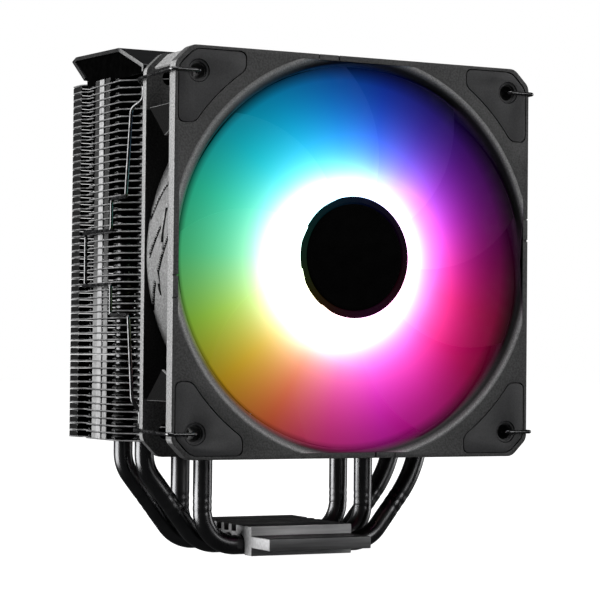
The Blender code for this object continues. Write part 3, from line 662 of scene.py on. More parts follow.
def tube(path, radius, sides, radii=None):
    """A swept round bar with rounded ends. If radii is given, it has one for each point of the path."""
    path = [Vector(p) for p in path]
    radii = radii or [radius] * len(path)
    first, last = (path[0] - path[1]).normalized(), (path[-1] - path[-2]).normalized()
    ends = [(0.5, 0.87), (0.86, 0.5), (0.97, 0.2)]  # share of the radius outwards, and of the width
    head = [(path[0] + first * radius * out, radii[0] * wide) for out, wide in reversed(ends)]
    tail = [(path[-1] + last * radius * out, radii[-1] * wide) for out, wide in ends]
    path = [p for p, _ in head] + path + [p for p, _ in tail]
    radii = [r for _, r in head] + radii + [r for _, r in tail]
    rings, normal = [], None
    for i, point in enumerate(path):
        along = (path[min(i + 1, len(path) - 1)] - path[max(i - 1, 0)]).normalized()
        if normal is None:
            normal = along.orthogonal().normalized()
        normal = (normal - along * normal.dot(along)).normalized()
        side = along.cross(normal)
        rings.append([point + normal * x + side * y for x, y in circle(radii[i], sides)])
    return skinned(rings)


def spaced(path, step):
    """The same path with points at most one step apart."""
    result = [Vector(path[0])]
    for start, end in zip(path, path[1:]):
        start, end = Vector(start), Vector(end)
        count = max(1, math.ceil((end - start).length / step))
        result += [start.lerp(end, k / count) for k in range(1, count + 1)]
    return result


def cut(bm, cutters):
    """Boolean difference of the cutters, one after another."""
    bmesh.ops.recalc_face_normals(bm, faces=bm.faces)
    target = linked("cut", as_mesh(bm))
    helpers = []
    for cutter in cutters:
        bmesh.ops.recalc_face_normals(cutter, faces=cutter.faces)
        helpers.append(linked("cutter", as_mesh(cutter)))
        step = target.modifiers.new("cut", "BOOLEAN")
        step.operation = "DIFFERENCE"
        step.solver = "EXACT"
        step.object = helpers[-1]
    done = evaluated(target)
    for helper in helpers:
        bpy.data.objects.remove(helper, do_unlink=True)
    bmesh.ops.dissolve_limit(done, angle_limit=FLAT_ANGLE, verts=done.verts, edges=done.edges)
    return done


def piece(name, bm, finishes, replaces=(), body=ROOT, sharp=35, finish_at=None):
    """Makes the object, shades it, parents it to the body it rides on and hides the CAD nodes it stands
    for.
    """
    bmesh.ops.recalc_face_normals(bm, faces=bm.faces)
    if finish_at:
        for face in bm.faces:
            face.material_index = finish_at(face)
    mesh = as_mesh(bm, name)
    for finish in finishes:
        mesh.materials.append(finish)
    mesh.shade_smooth()
    mesh.set_sharp_from_angle(angle=math.radians(sharp))
    obj = linked(name, mesh)
    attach(obj, body)
    if replaces:
        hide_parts(*replaces)


# Local X, Y, Z of a shape drawn facing the viewer become world X, Z and -Y, about the fan's axis.
def facing_front(y):
    return Matrix.Translation((0, y, FAN_Z)) @ Matrix.Rotation(math.radians(90), 4, "X")


def corner_turn(index):
    return Matrix.Rotation(math.radians(90 * index), 4, "Z")


# -------- base and heat pipes


def pipe_rows():
    return [(i - 1.5) * PIPE_PITCH for i in range(4)]


def pipe_rows_and_sides():
    """Each pipe's Y, and the side of its outer leg."""
    return [(y, 1 if i % 2 == 0 else -1) for i, y in enumerate(pipe_rows())]


def base_outline():
    """(Y, Z) outline of the block and its ears, with the slots on top and the pipe grooves below."""
    groove = PIPE_RADIUS + 0.3 * MM
    top, ear = BASE_HIGH.z, BASE_HIGH.y
    outline = [(ear, EAR_LOW_Z), (ear, EAR_HIGH_Z), (BASE_HALF_Y, EAR_HIGH_Z), (BASE_HALF_Y, top)]
    for i in reversed(range(4)):
        near, far = (i - 1.5) * SLOT_PITCH + SLOT_HALF, (i - 1.5) * SLOT_PITCH - SLOT_HALF
        outline += [(near, top), (near, top - SLOT_DEPTH), (far, top - SLOT_DEPTH), (far, top)]
    outline += [(-BASE_HALF_Y, top), (-BASE_HALF_Y, EAR_HIGH_Z), (-ear, EAR_HIGH_Z), (-ear, EAR_LOW_Z)]
    outline += [(-BASE_HALF_Y, EAR_LOW_Z), (-BASE_HALF_Y, 0)]
    for y in pipe_rows():
        roof = arc((y, PIPE_RADIUS), groove, math.pi, 0.0, 10)
        outline += [(y - groove, 0)] + roof + [(y + groove, 0)]
    return outline + [(BASE_HALF_Y, 0), (BASE_HALF_Y, EAR_LOW_Z)]


# Local X, Y, Z of a side outline become world Y, Z and X.
def facing_side(x=0.0):
    return Matrix.Translation((x, 0, 0)) @ Matrix(((0, 0, 1, 0), (1, 0, 0, 0), (0, 1, 0, 0), (0, 0, 0, 1)))


# Local X, Y, Z of an outline become world X, Z and -Y.
def facing_back(y=0.0):
    return Matrix.Translation((0, y, 0)) @ Matrix.Rotation(math.radians(90), 4, "X")


def base_finish_at(face):
    """0 for the block's upright faces, 1 for all that looks up or down, 2 for the low ears; 1 and 2 are
    darker copies of the same metal, as painted shade.
    """
    centre = face.calc_center_median()
    reach, edge = abs(centre.y) - BASE_HALF_Y, 0.5 * MM
    if abs(face.normal.z) > 0.9 or centre.z > BASE_HIGH.z - SLOT_DEPTH - 0.1 * MM and reach < -edge:
        return 1
    return 2 if reach > edge else 0


def make_base():
    brush, gloss = (0.05, 1, 1), (0.4, 0.52)
    finishes = [
        brushed("machined_aluminium", (0.26, 0.26, 0.263), (0.40, 0.40, 0.404), brush, 0.3, gloss),
        # the top and ear finishes are darker copies of the metal, as painted shade
        brushed("machined_top", (0.010, 0.010, 0.0103), (0.022, 0.022, 0.0225), brush, 0.3, gloss),
        brushed("machined_ear", (0.10, 0.10, 0.102), (0.17, 0.17, 0.173), brush, 0.3, gloss),
    ]
    block = join_outlines([base_outline()], 2 * BASE_HALF_X, facing_side())
    screw, seat = 1.7 * MM, 2.6 * MM
    profile = [(screw, -1 * MM), (screw, 5.2 * MM), (seat, 6.3 * MM), (seat, 8 * MM)]
    holes = [
        lathe(profile, 32, Matrix.Translation((x, y, 0)), closed=False)
        for x in (-EAR_HOLE_X, EAR_HOLE_X)
        for y in (-EAR_HOLE_Y, EAR_HOLE_Y)
    ]
    block = round_edges(cut(block, holes), 0.25 * MM)
    piece("base_block_detailed", block, finishes, ["base_block"], finish_at=base_finish_at)


def inner_leg():
    bend = arc((INNER_LEG_X - INNER_BEND, PIPE_RADIUS + INNER_BEND), INNER_BEND, -math.pi / 2, 0.0, 24)
    return bend + [(INNER_LEG_X, PIPE_TOP_Z - PIPE_TIP)]


def outer_leg(bend):
    upper_centre = (OUTER_LEG_X - bend, OUTER_CORNER_Z + bend * math.tan(OUTER_LEAN / 2))
    upper = arc(upper_centre, bend, -OUTER_LEAN, 0.0, 24)
    lower_top_z = PIPE_RADIUS + OUTER_LOWER_BEND * (1 - math.sin(OUTER_LEAN))
    run = (upper[0][1] - lower_top_z) * math.tan(OUTER_LEAN)
    lower_x = upper[0][0] - run - OUTER_LOWER_BEND * math.cos(OUTER_LEAN)
    lower = arc((lower_x, PIPE_RADIUS + OUTER_LOWER_BEND), OUTER_LOWER_BEND, -math.pi / 2, -OUTER_LEAN, 18)
    return lower + upper + [(OUTER_LEG_X, PIPE_TOP_Z - PIPE_TIP)]


def pipe_radius_at(point):
    """Shallow creases where a leg leaves its tight lower bend, and a necked tip."""
    height = point.z
    creases = 0.0
    for level in (13.5, 15.6, 17.7):
        creases += 0.11 * MM * math.exp(-(((height / MM - level) / 0.5) ** 2))
    tip = max(0.0, (height - (PIPE_TOP_Z - 4 * MM)) / (4 * MM))
    return (PIPE_RADIUS - creases) * (1 - 0.45 * tip**1.5)


def make_heat_pipes():
    finish = black_pipe()
    for i, (y, side) in enumerate(pipe_rows_and_sides()):
        outer = [(side * x, y, z) for x, z in outer_leg(OUTER_BEND_RIGHT if side > 0 else OUTER_BEND_LEFT)]
        inner = [(-side * x, y, z) for x, z in inner_leg()]
        path = spaced(inner[::-1] + outer, 0.6 * MM)
        pipe = tube(path, 0.9 * PIPE_TIP, 28, [pipe_radius_at(point) for point in path])
        piece(f"heat_pipe_{i + 1}_swept", pipe, [finish], [f"heat_pipe_{i + 1}"], sharp=60)


# -------- fins and cover


def both_sides(right):
    """A rounded outline from its right half, which is mirrored."""
    return rounded(right + [(-x, y) for x, y in reversed(right)], 0.7 * MM, 3)


def fin_outline():
    """A full fin's plan: cut front corners, tab stretch, clip notch and back corners."""
    cut_x, cut_y = FIN_CORNER_CUT
    notch_x, back_x = FIN_HALF - NOTCH_DEPTH, FIN_HALF - FIN_BACK_INSET
    return both_sides(
        [
            (FIN_HALF - cut_x, FIN_FRONT_Y), (FIN_HALF, FIN_FRONT_Y + cut_y), (FIN_HALF, 14.5 * MM),
            (notch_x, 17 * MM), (notch_x, 22.5 * MM), (back_x, FIN_BACK_SHOULDER_Y), (back_x, FIN_BACK_Y),
        ]
    )


def top_fin_outline():
    low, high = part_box("top_fin")
    narrow = 55.3 * MM  # beside the cover's cheeks
    return both_sides(
        [(narrow, low.y), (narrow, 21.4 * MM), (high.x, FIN_BACK_SHOULDER_Y), (high.x, high.y)]
    )


def leg_places():
    places = []
    for y, side in pipe_rows_and_sides():
        places += [(side * OUTER_LEG_X, y), (-side * INNER_LEG_X, y)]
    return places


def fin_sheet(outline):
    """One fin at height zero: the sheet, and a drawn collar round each pipe."""
    holes = [circle(PIPE_RADIUS + 0.1 * MM, 20, place) for place in leg_places()]
    fin = round_edges(join_outlines([outline] + holes, FIN_SHEET), 0.1 * MM, 1, 60)
    inner, outer, foot = (PIPE_RADIUS + out * MM for out in (0.03, 0.33, 0.68))
    height = 1.35 * MM
    profile = [
        (outer, height), (outer, 0.6 * MM), (foot, FIN_SHEET / 2), (foot, 0.0), (inner, 0.0),
        (inner, height),
    ]
    for x, y in leg_places():
        add_mesh(fin, lathe(profile, 20, Matrix.Translation((x, y, 0))))
    return fin



def flap(start, end, outer, height, side, facing):
    """A folded flap that stands on the fin's edge, with rounded upper corners."""
    outline = rounded([(start, height), (end, height), (end, -0.1 * MM), (start, -0.1 * MM)], 0.5 * MM, 3)
    place = facing(side * (outer - FLAP_THICKNESS / 2))
    return round_edges(join_outlines([outline], FLAP_THICKNESS, place), 0.1 * MM, 1)


def add_flaps(fin):
    """A proud middle flap between two flatter ones, two short feet, and the closed back corners."""
    near, far = SIDE_FLAPS
    low, high = MIDDLE_FLAP
    gap, flat = 0.3 * MM, 0.35 * MM
    foot = 0.4 * FIN_PITCH
    for side in (-1, 1):
        for start, end, inset, height in (
            (near, low - gap, flat, FLAP_HEIGHT),
            (low, high, 0.0, FLAP_HEIGHT + 0.05 * MM),
            (high + gap, far, flat, FLAP_HEIGHT),
            (-8.8 * MM, -6.0 * MM, flat, foot),
            (13.4 * MM, 14.3 * MM, 2 * flat, foot),
            (23.9 * MM, 30.8 * MM, 0.75 * MM, FLAP_HEIGHT),
        ):
            add_mesh(fin, flap(start, end, FIN_HALF - inset, height, side, facing_side))
        inner, outer = sorted((side * 22 * MM, side * (FIN_HALF - 1.2 * MM)))
        add_mesh(fin, flap(inner, outer, FIN_BACK_Y - 0.05 * MM, FLAP_HEIGHT, 1, facing_back))
    return fin


def copies(bm, count, step):
    mesh = as_mesh(bm)
    stack = bmesh.new()
    for i in range(count):
        start = len(stack.verts)
        stack.from_mesh(mesh)
        stack.verts.ensure_lookup_table()
        bmesh.ops.translate(stack, verts=stack.verts[start:], vec=(0, 0, i * step))
    bpy.data.meshes.remove(mesh)
    return stack


def fin_finish_at(face):
    """0 for the black sheet, 1 for cut edges, lighter as bare metal and as painted highlight, 2 for the
    proud middle flaps, which carry a painted highlight, 3 for those beside them, with painted light by
    height.
    """
    if abs(face.normal.z) > 0.9:
        return 0
    heights = [vert.co.z for vert in face.verts]
    centre = face.calc_center_median()
    if max(heights) - min(heights) < 0.45 * MM:
        return 1
    if SIDE_FLAPS[0] <= centre.y <= SIDE_FLAPS[1] and abs(centre.x) > FIN_HALF - 1.2 * MM:
        return 2 if MIDDLE_FLAP[0] <= centre.y <= MIDDLE_FLAP[1] else 3
    return 0


def make_fins():
    finishes = [
        coated_fin("black_fin", (0.003, 0.003, 0.003), (0.007, 0.007, 0.0072), 0.55, 0.05),
        # the edge and flap finishes are lighter copies of the coating: painted highlight, and bare metal on
        # the cut edges
        coated_fin("black_fin_edge", (0.09, 0.09, 0.092), (0.22, 0.22, 0.222), 0.45),
        coated_fin("black_fin_worn_flap", (0.24, 0.24, 0.242), (0.40, 0.40, 0.403), 0.45),
        side_flap_painted_light(),
    ]
    for block in range(FIN_BLOCKS):
        stack = copies(add_flaps(fin_sheet(fin_outline())), FINS_PER_BLOCK, FIN_PITCH)
        first = FIN_FIRST_Z + block * FINS_PER_BLOCK * FIN_PITCH
        moved(stack, Matrix.Translation((0, 0, first)))
        name, node = f"fin_stack_{block + 1}", f"fin_block_{block + 1}"
        piece(name, stack, finishes, [node], finish_at=fin_finish_at)
    top = moved(fin_sheet(top_fin_outline()), Matrix.Translation((0, 0, TOP_FIN_Z)))
    piece("top_fin_sheet", top, finishes, ["top_fin"], finish_at=fin_finish_at)


def cover_path():
    """(Y, Z) of the cover's outer side, from the back lip over the top to the front lip."""
    low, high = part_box("top_cover")
    drops = [
        (21.2 * MM, 8.4 * MM), (high.y, 1.1 * MM), (28.6 * MM, 0.0), (-8.0 * MM, 1.3 * MM),
        (low.y, 8.4 * MM), (low.y, 10.6 * MM),
    ]
    return [(y, COVER_TOP - drop) for y, drop in drops]


def moved_in(path, distance):
    """The path's inner side: each bend moves along its bisector."""
    result = []
    for i, point in enumerate(path):
        here = Vector(point)
        runs = [Vector(path[k + 1]) - Vector(path[k]) for k in (i - 1, i) if 0 <= k < len(path) - 1]
        sides = [Vector((-run.y, run.x)).normalized() for run in runs]
        normal = sum(sides, Vector((0, 0))).normalized()
        result.append(tuple(here + normal * distance / max(normal.dot(sides[0]), 0.45)))
    return result


def cover_finish_at(face):
    """0 for the sheet, 1 for its cut ends, 2 for the cheeks."""
    if abs(face.normal.x) < 0.9:
        return 0
    return 1 if abs(face.calc_center_median().x) > COVER_HALF - 0.3 * MM else 2


def make_cover():
    finishes = [
        brushed("cover_sheet", (0.01, 0.01, 0.011), (0.028, 0.028, 0.03), (0.04, 1, 1), 0.8, (0.3, 0.45)),
        cut_edge(),
        # the cheeks are black made darker still, as painted shade of their recess under the sheet
        coated_fin("cover_cheek", (0.0006, 0.0006, 0.0006), (0.0014, 0.0014, 0.0014), 0.7, 0.0),
    ]
    outside = cover_path()
    inside = moved_in(outside, COVER_SHEET)
    outline = rounded(outside, 0.7 * MM, 3, cyclic=False) + rounded(inside, 0.4 * MM, 3, cyclic=False)[::-1]
    sheet = round_edges(join_outlines([outline], 2 * COVER_HALF, facing_side()), 0.15 * MM, 2, 55)
    rim = moved_in(outside, COVER_SHEET * 0.6)
    rim.append((rim[0][0], rim[-1][1]))
    for side in (-1, 1):
        add_mesh(sheet, join_outlines([rim], 0.9 * MM, facing_side(side * (COVER_HALF - 1.4 * MM))))
    piece("top_cover_sheet", sheet, finishes, ["top_cover"], finish_at=cover_finish_at)


# -------- fan frame and pads


def fan_rim():
    """The frame's outline: (near, far) is the end of a chamfer, mirrored for each corner."""
    near, far = FAN_HALF - CORNER_CHAMFER, FAN_HALF
    corners = [
        (near, -far), (far, -near), (far, near), (near, far),
        (-near, far), (-far, near), (-far, -near), (-near, -far),
    ]
    return rounded(corners, 1.6 * MM, 6)


def mouth_ring(radius, flat=MOUTH_FLAT):
    """A circle that is cut flat at the middle of each side."""
    return [
        (max(-flat, min(flat, x)), max(-flat, min(flat, y))) for x, y in circle(radius, MOUTH_SEGMENTS)
    ]


def fan_ring(outline, depth):
    """Points drawn about the fan's axis, at a depth behind the frame's face."""
    return [facing_front(FACE_Y) @ Vector((x, y, -depth)) for x, y in outline]


def pad_outline(grow=0.0):
    """The pad of the corner at +X +Z: an arc round the mouth and rounded corners."""
    reach, edge = PAD_REACH - grow, FAN_HALF - PAD_MARGIN + grow
    radius = PAD_ARC_RADIUS - grow
    end = math.acos(reach / radius)
    lead = math.radians(3.5)
    line = arc((0, 0), radius, end - lead, math.pi / 2 - end + lead, 20)
    tips = [(radius * math.cos(t), radius * math.sin(t)) for t in (math.pi / 2 - end, end)]
    corners = [
        line[-1], tips[0], (edge, reach), (edge, edge - CORNER_CHAMFER), (edge - CORNER_CHAMFER, edge),
        (reach, edge), tips[1], line[0],
    ]
    return rounded(corners, PAD_CORNER, 5, cyclic=False) + line[1:-1]


def fan_holes():
    centres = [(x, y) for x in (-HOLE_OFFSET, HOLE_OFFSET) for y in (-HOLE_OFFSET, HOLE_OFFSET)]
    return [circle(HOLE_RADIUS, 28, centre) for centre in centres]


def hole_at(index):
    """Stands on the frame's face, at a corner's screw hole."""
    return facing_front(FACE_Y) @ corner_turn(index) @ Matrix.Translation((HOLE_OFFSET, HOLE_OFFSET, 0))


def make_front_flange():
    """The front plate with its mouth, screw holes, pad pockets and the cut beside each side's tab."""
    middle = facing_front(FACE_Y + FRONT_FLANGE / 2)
    plate = join_outlines([fan_rim(), mouth_ring(MOUTH_RADIUS)] + fan_holes(), FRONT_FLANGE, middle)
    pocket_depth, pocket_gap = PAD_DEPTH + 0.3 * MM, 0.25 * MM
    cutters = []
    for i in range(4):
        place = facing_front(FACE_Y) @ corner_turn(i)
        cutters.append(join_outlines([pad_outline(pocket_gap)], 2 * pocket_depth, place))
        for offset, width in TAB_CUTS:
            low = (-FAN_HALF - 1 * MM, -offset - width / 2, -0.5 * MM)
            high = (-MOUTH_FLAT + 2 * MM, -offset + width / 2, 1 * MM)
            cutters.append(moved(box(low, high), place))
    return round_edges(cut(plate, cutters), 0.35 * MM, 3)


# Grooves in the barrel's left side, and turned by half a circle on the right:
# each is a run of (angle round the axis in degrees, depth behind the face in mm)
GROOVES = [
    [(166.5, 10.0), (169.8, 10.3), (178.6, 10.0)],
    [(175.5, 6.0), (185.2, 13.2), (191.6, 13.7)],
    [(172.8, 12.7), (180.5, 19.0)],
    [(160.5, 15.5), (164.5, 18.0), (169.5, 20.5)],
    [(188.5, 16.5), (195.5, 21.0)],
    [(152.0, 7.0), (158.0, 14.0), (160.0, 14.6)],
    [(199.0, 8.0), (206.0, 16.0), (210.0, 16.5)],
    [(146.0, 14.0), (152.0, 20.0)],
]
GROOVE_WIDTH = 0.55 * MM
GROOVE_DEPTH = 0.75 * MM


def groove_depth(angle, depth):
    """How deep the barrel's surface is cut, at an angle in degrees and a depth behind the frame's face."""
    angle = angle % 180 + (180 if angle % 180 < 60 else 0)
    angle = angle if 120 <= angle <= 240 else angle - 180
    here = Vector((math.radians(angle) * BARREL_RADIUS, depth))
    nearest = 1.0
    for run in GROOVES:
        points = [Vector((math.radians(a) * BARREL_RADIUS, d * MM)) for a, d in run]
        for start, end in zip(points, points[1:]):
            along = end - start
            t = max(0.0, min(1.0, (here - start).dot(along) / along.length_squared))
            nearest = min(nearest, (here - start - along * t).length)
    return GROOVE_DEPTH * max(0.0, min(1.0, 1.6 - nearest / GROOVE_WIDTH))



def make_mouth():
    """The bell mouth and the throat, as a closed shell inside the barrel, with a lip behind the blades."""
    rings, steps = [], 9
    for k in range(steps + 1):
        t = math.pi / 2 * k / steps
        radius = THROAT_RADIUS + (MOUTH_RADIUS - THROAT_RADIUS) * (1 - math.sin(t))
        rings.append(fan_ring(mouth_ring(radius), MOUTH_DEPTH * (1 - math.cos(t)) + 0.01 * MM))
    skirt, lip, lip_start, lip_end = BARREL_RADIUS - 0.9 * MM, 55.6 * MM, 18.1 * MM, 19.3 * MM
    for radius, depth in (
        (THROAT_RADIUS, lip_start), (lip, lip_start), (lip, lip_end), (THROAT_RADIUS, lip_end),
        (THROAT_RADIUS, BARREL_REAR), (skirt, BARREL_REAR), (skirt, BARREL_START),
    ):
        rings.append(fan_ring(circle(radius, MOUTH_SEGMENTS), depth))
    rings.append(fan_ring(mouth_ring(MOUTH_RADIUS + 0.7 * MM, MOUTH_FLAT + 0.5 * MM), 0.6 * MM))
    return skinned(rings, closed=True)


def make_barrel():
    """The grooved outer wall."""
    rings = []
    for k in range(BARREL_ROWS + 1):
        depth = BARREL_REAR + (BARREL_START - BARREL_REAR) * k / BARREL_ROWS
        ring = []
        for i in range(BARREL_SEGMENTS):
            degrees = 360 * i / BARREL_SEGMENTS
            radius, t = BARREL_RADIUS - groove_depth(degrees, depth), math.radians(degrees)
            ring.append((radius * math.cos(t), radius * math.sin(t)))
        rings.append(fan_ring(ring, depth))
    return skinned(rings + [shrunk(rings[-1], BARREL_WALL), shrunk(rings[0], BARREL_WALL)], closed=True)


def shrunk(ring, amount):
    """The ring's points moved towards the fan's axis."""
    return [p - Vector((p.x, 0, p.z - FAN_Z)).normalized() * amount for p in ring]


def make_rear_flange():
    place = facing_front(FRAME_HIGH.y - REAR_FLANGE / 2)
    opening = circle(THROAT_RADIUS + 0.6 * MM, 160)
    return round_edges(join_outlines([fan_rim(), opening] + fan_holes(), REAR_FLANGE, place), 0.3 * MM)


def gusset(index, up):
    """A small triangular web in the frame's side, between the two flanges."""
    top, low, front, rear, tip = 43.2 * MM, 34 * MM, 3.6 * MM, 20 * MM, 8.6 * MM
    corners = [(front, up * top), (rear, up * top), (tip, up * low), (front, up * (low + 2 * MM))]
    # drawn as (depth behind the face, height), stood up just inside the frame's side
    stand = Matrix(((0, 0, 1, FAN_HALF - 1.0 * MM), (0, 1, 0, 0), (-1, 0, 0, 0), (0, 0, 0, 1)))
    place = facing_front(FACE_Y) @ corner_turn(index) @ stand
    return round_edges(join_outlines([rounded(corners, 0.4 * MM, 2)], 0.9 * MM, place), 0.12 * MM, 1)


def make_struts():
    """The motor plate, its four arms and the bearing tube."""
    rear_y = FRAME_HIGH.y - REAR_FLANGE / 2
    half = REAR_FLANGE / 2
    plate, tube_inner, tube_outer, edge = 20 * MM, 3.5 * MM, 4.6 * MM, 0.4 * MM
    floor, tube_depth = -half + 0.5 * MM, rear_y - FACE_Y - 6.5 * MM
    profile = [
        (plate - edge, half), (plate, half - edge), (plate, edge - half), (plate - edge, -half),
        (plate - 2.4 * MM, -half), (plate - 2.8 * MM, floor), (5.6 * MM, floor), (5.2 * MM, -half),
        (tube_inner, -half), (tube_inner, tube_depth), (tube_outer, tube_depth), (tube_outer, half),
    ]
    bm = lathe(profile, 96, facing_front(rear_y))
    start, end, wide, narrow = 18 * MM, 58.6 * MM, 2.1 * MM, 1.4 * MM
    arm = rounded([(start, -wide), (end, -narrow), (end, narrow), (start, wide)], 0.3 * MM, 2)
    for i in range(4):
        strut = round_edges(join_outlines([arm], REAR_FLANGE - 0.5 * MM), 0.5 * MM, 3)
        turn = Matrix.Rotation(math.radians(90 * i + 28), 4, "Z")
        add_mesh(bm, moved(strut, facing_front(rear_y) @ turn))
    return bm


def make_screw_sleeves():
    """A short sleeve behind each screw hole of the front flange."""
    inner, outer, start, end = HOLE_RADIUS, HOLE_RADIUS + 1.1 * MM, 3.5 * MM, 9.4 * MM
    profile = [(inner, -start), (outer, -start), (outer, -end), (inner, -end)]
    bm = bmesh.new()
    for i in range(4):
        add_mesh(bm, lathe(profile, 36, hole_at(i)))
    return bm


def bridges():
    """Sloped strips across the two upper chamfered corners, joining the flanges for part of the way."""
    bm = bmesh.new()
    middle = FAN_HALF - CORNER_CHAMFER / 2 - 0.75 * MM
    half_length, half_thickness, start, end = 3.0 * MM, 0.45 * MM, 3.6 * MM, 17.5 * MM
    for i in range(2):
        strip = box((-half_length, -half_thickness, -end), (half_length, half_thickness, -start))
        place = facing_front(FACE_Y) @ corner_turn(i) @ Matrix.Translation((middle, middle, 0))
        moved(strip, place @ Matrix.Rotation(math.radians(-45), 4, "Z"))
        add_mesh(bm, round_edges(strip, 0.15 * MM, 1))
    return bm


def front_finish_at(face):
    """1 for the flange's outer sides, a lighter copy of the plastic as painted highlight."""
    centre = face.calc_center_median()
    return int(abs(face.normal.x) > 0.7 and abs(centre.x) > FAN_HALF - 0.6 * MM)


def barrel_finish_at(face):
    """1 inside the grooves, which are in shade."""
    centre = face.calc_center_median()
    angle = math.degrees(math.atan2(centre.z - FAN_Z, centre.x)) % 360
    return int(groove_depth(angle, centre.y - FACE_Y) > 0.3 * GROOVE_DEPTH)


def web_finish_at(face):
    """0 for the thin edges of a web, with a painted highlight, 1 for its faces, painted dark as shade."""
    return int(face.calc_area() > 20 * MM * MM)


def make_fan_frame():
    plain = grained_plastic()
    # the shaded and groove finishes are darker copies of the plastic as painted shade; the side and barrel
    # finishes are lighter ones as painted highlight
    shaded = grained_plastic("shaded_frame_plastic", 1.8, 0.08, painted_shade_on_sides)
    side = grained_plastic("lit_frame_side", 4.2)
    barrel = grained_plastic("barrel_plastic", 3.0, 0.3, painted_light_band)
    deep = grained_plastic("groove_plastic", 0.1, 0.02)
    front = add_mesh(make_front_flange(), make_screw_sleeves())
    piece("fan_front_flange", front, [plain, side], ["fan_frame"], finish_at=front_finish_at)
    piece("fan_bell_mouth", make_mouth(), [mouth_plastic()], sharp=50)
    piece("fan_barrel", make_barrel(), [barrel, deep], sharp=50, finish_at=barrel_finish_at)
    piece("fan_rear_flange", make_rear_flange(), [shaded, side], finish_at=front_finish_at)
    # the bridges take the lit side finish, a painted highlight
    piece("fan_corner_bridges", bridges(), [side])
    webs = bmesh.new()
    for index in range(4):
        for up in (-1, 1):
            add_mesh(webs, gusset(index, up))
    piece("fan_side_webs", webs, [side, deep], finish_at=web_finish_at)
    piece("fan_motor_mount", make_struts(), [shaded])


def make_pads():
    finish = pad_rubber()
    hole = circle(PAD_HOLE_RADIUS, 36, (HOLE_OFFSET, HOLE_OFFSET))
    rear_low, rear_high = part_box("rear_pad_1")
    collar = [(3.3, -1.3), (3.3, -0.5), (3.1, -0.35), (2.7, -0.5), (2.5, -1.3)]
    collar = [(radius * MM, height * MM) for radius, height in collar]
    for i in range(4):
        for name, low, high in (
            ("front_pad", FACE_Y, FACE_Y + PAD_DEPTH), ("rear_pad", rear_low.y, rear_high.y)
        ):
            place = facing_front((low + high) / 2) @ corner_turn(i)
            pad = round_edges(join_outlines([pad_outline(), hole], high - low, place), 0.15 * MM)
            if name == "front_pad":
                add_mesh(pad, lathe(collar, 36, hole_at(i)))
            piece(f"{name}_{i + 1}_moulded", pad, [finish], [f"{name}_{i + 1}"])


# -------- rotor


def blade_point(across, along):
    """Across runs 0 to 1 from root to tip, along 0 to 1 from the leading to the trailing edge."""
    root = HUB_RADIUS - 0.7 * MM
    front, rear = FACE_Y + 1.6 * MM, FACE_Y + 16.7 * MM
    radius = root + across * (BLADE_TIP_RADIUS - root)
    turn = math.radians(22) * across**1.6 + math.radians(66) * (along - 0.12)
    return Vector((radius * math.cos(turn), front + (rear - front) * along**1.9, radius * math.sin(turn)))


def make_blades():
    """Broad blades that overlap, each a thickened grid."""
    blades = bmesh.new()
    for i in range(BLADES):
        turn = Matrix.Rotation(2 * math.pi * i / BLADES, 3, "Y")
        cage = bmesh.ops.create_grid(blades, x_segments=14, y_segments=14, size=0.5)["verts"]
        for vert in cage:
            vert.co = turn @ blade_point(vert.co.x + 0.5, vert.co.y + 0.5) + Vector((0, 0, FAN_Z))
    sheet = linked("blade_sheet", as_mesh(blades))
    thick = sheet.modifiers.new("thickness", "SOLIDIFY")
    thick.thickness = 1.1 * MM
    thick.offset = 0
    finer = sheet.modifiers.new("finer", "SUBSURF")
    finer.subdivision_type = "SIMPLE"
    finer.levels = finer.render_levels = 1
    return evaluated(sheet)


def hub_finish_at(face):
    """1 for the hub's side wall, which the light reaches."""
    centre = face.calc_center_median() - Vector((0, 0, FAN_Z))
    return int(math.hypot(centre.x, centre.z) > HUB_RADIUS - 0.6 * MM)


def make_impeller():
    lit, dark = blade_plastic(), hub_plastic()
    piece("impeller_blades", make_blades(), [lit], ["impeller"], "rotor", sharp=60)
    wall, recess, boss, bore = 1.5 * MM, 16.3 * MM, 4.0 * MM, 1.8 * MM
    depth, boss_depth, film_depth = HUB_REAR_Y - FACE_Y - 1.7 * MM, 3.2 * MM, 0.95 * MM
    profile = [
        (HUB_RADIUS - 1.4 * MM, 0), (HUB_RADIUS - 0.7 * MM, -0.2 * MM), (HUB_RADIUS - 0.2 * MM, -0.7 * MM),
        (HUB_RADIUS, -1.4 * MM), (HUB_RADIUS, -depth), (HUB_RADIUS - wall, -depth),
        (HUB_RADIUS - wall, -wall), (boss, -wall), (boss, -boss_depth), (bore, -boss_depth),
        (bore, -film_depth), (recess, -film_depth), (recess, -0.2 * MM), (recess + 0.2 * MM, 0),
    ]
    hub = lathe(profile, 128, facing_front(HUB_FRONT_Y + 0.05 * MM))
    piece("impeller_hub", hub, [dark, lit], body="rotor", finish_at=hub_finish_at)


def make_hub_cap():
    """A thin disc, slightly domed."""
    black, speck = (0.0006, 0.0006, 0.0006), (0.0012, 0.0012, 0.0012)
    finish = speckled("hub_cap_film", black, speck, 0.6, 0.0, 1200, 0.005 * MM, 0.02)
    low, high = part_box("hub_cap")
    radius, steps = high.x, 24
    profile = [(radius * k / steps, -0.12 * MM * (k / steps) ** 2) for k in range(1, steps - 1)]
    profile += [
        (radius - 0.25 * MM, 0), (radius - 0.05 * MM, -0.08 * MM), (radius, -0.2 * MM),
        (radius, low.y - high.y),
    ]
    cap = lathe(profile, 96, facing_front(low.y), closed=False)
    piece("hub_cap_disc", cap, [finish], ["hub_cap"], "rotor")


# -------- wire clips


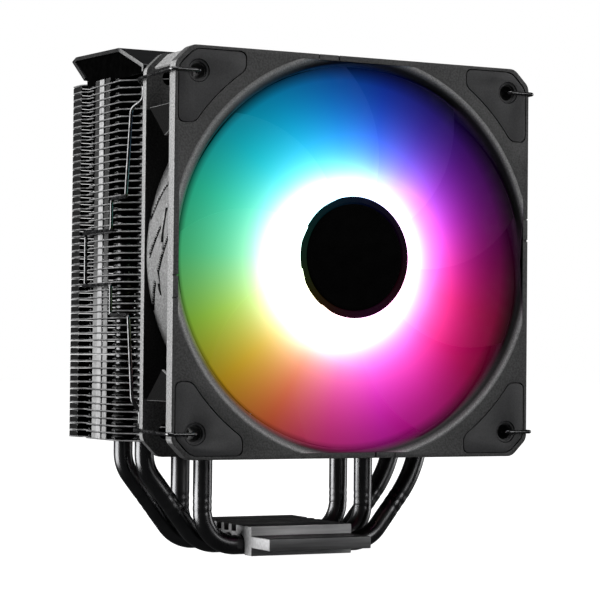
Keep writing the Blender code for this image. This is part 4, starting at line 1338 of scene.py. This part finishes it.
def clip_half(forward):
    """(outward X, Y, height over the fan's axis) of the bends, from the hook in a screw hole to the latch.

    Forward moves the long upright run towards the fan.
    """
    face, rear = FACE_Y - 0.9 * MM, FACE_Y + 25 * MM
    side, tuck_x, run_x, latch_x = 61.2 * MM, 58.9 * MM, 60.2 * MM, 57.2 * MM
    step_y, step_z, run_z = -9 * MM, 17.8 * MM, 8.3 * MM
    return [
        (HOLE_OFFSET, FACE_Y + 1.5 * MM, HOLE_OFFSET),
        (HOLE_OFFSET, face, HOLE_OFFSET),
        (side, face, HOLE_OFFSET),
        (side, rear - 0.2 * MM, 52.0 * MM),
        (tuck_x, rear + 1.0 * MM, 50.8 * MM),
        (tuck_x, rear + 1.0 * MM, 46.2 * MM),
        (side, rear + 4.6 * MM - forward, 43.8 * MM),
        (side, rear + 8.2 * MM - forward, step_z + 0.2 * MM),
        (run_x, rear + 10.4 * MM, step_z),
        (run_x, step_y, step_z),
        (run_x, step_y, run_z),
        (run_x, 14.2 * MM, run_z),
        (latch_x, 19.9 * MM, run_z),
    ]


def make_clips():
    finish = black_wire()
    for name, side in (("left", -1), ("right", 1)):
        upper = [(side * x, y, FAN_Z + z) for x, y, z in clip_half(0.0)]
        lower = [(side * x, y, FAN_Z - z) for x, y, z in clip_half(3 * MM)]
        wire = tube(rounded(upper + lower[::-1], 1.5 * MM, 6, cyclic=False), WIRE_RADIUS, 16)
        node = f"{name}_wire_clip"
        piece(f"{node}_bent", wire, [finish], [node], f"{name}_clip", sharp=70)


# -------- inner CAD pieces


def finish_inner_nodes():
    steel = brushed("motor_steel", (0.32, 0.32, 0.33), (0.55, 0.55, 0.56), (1, 0.1, 1), 1.0, (0.22, 0.4))
    bronze = speckled("sintered_bronze", (0.30, 0.19, 0.08), (0.52, 0.36, 0.18), 0.45, 0.9, 2200)
    inner = {
        "bearing_sleeve": bronze,
        "stator_core": steel,
        "rotor_yoke": steel,
        "shaft": steel,
        "magnet_ring": speckled("ferrite", (0.04, 0.04, 0.043), (0.08, 0.08, 0.085), 0.65),
        "circuit_board": speckled("board", (0.012, 0.075, 0.035), (0.03, 0.13, 0.06), 0.4, 0, 500),
    }
    copper = wound_copper()
    lens = speckled("led_lens", (0.8, 0.8, 0.76), (0.95, 0.95, 0.9), 0.25, 0, 1500, 0.01 * MM)
    for i in range(1, 5):
        inner[f"stator_coil_{i}"] = copper
        inner[f"led_{i}"] = lens
    for node, finish in inner.items():
        slots = frame["nodes"][node].material_slots
        if not slots:
            frame["nodes"][node].data.materials.append(finish)
        for slot in slots:
            slot.material = finish


# -------- build


make_camera()
make_studio()
make_floor()
make_base()
make_heat_pipes()
make_fins()
make_cover()
make_fan_frame()
make_pads()
make_impeller()
make_hub_cap()
make_clips()
finish_inner_nodes()
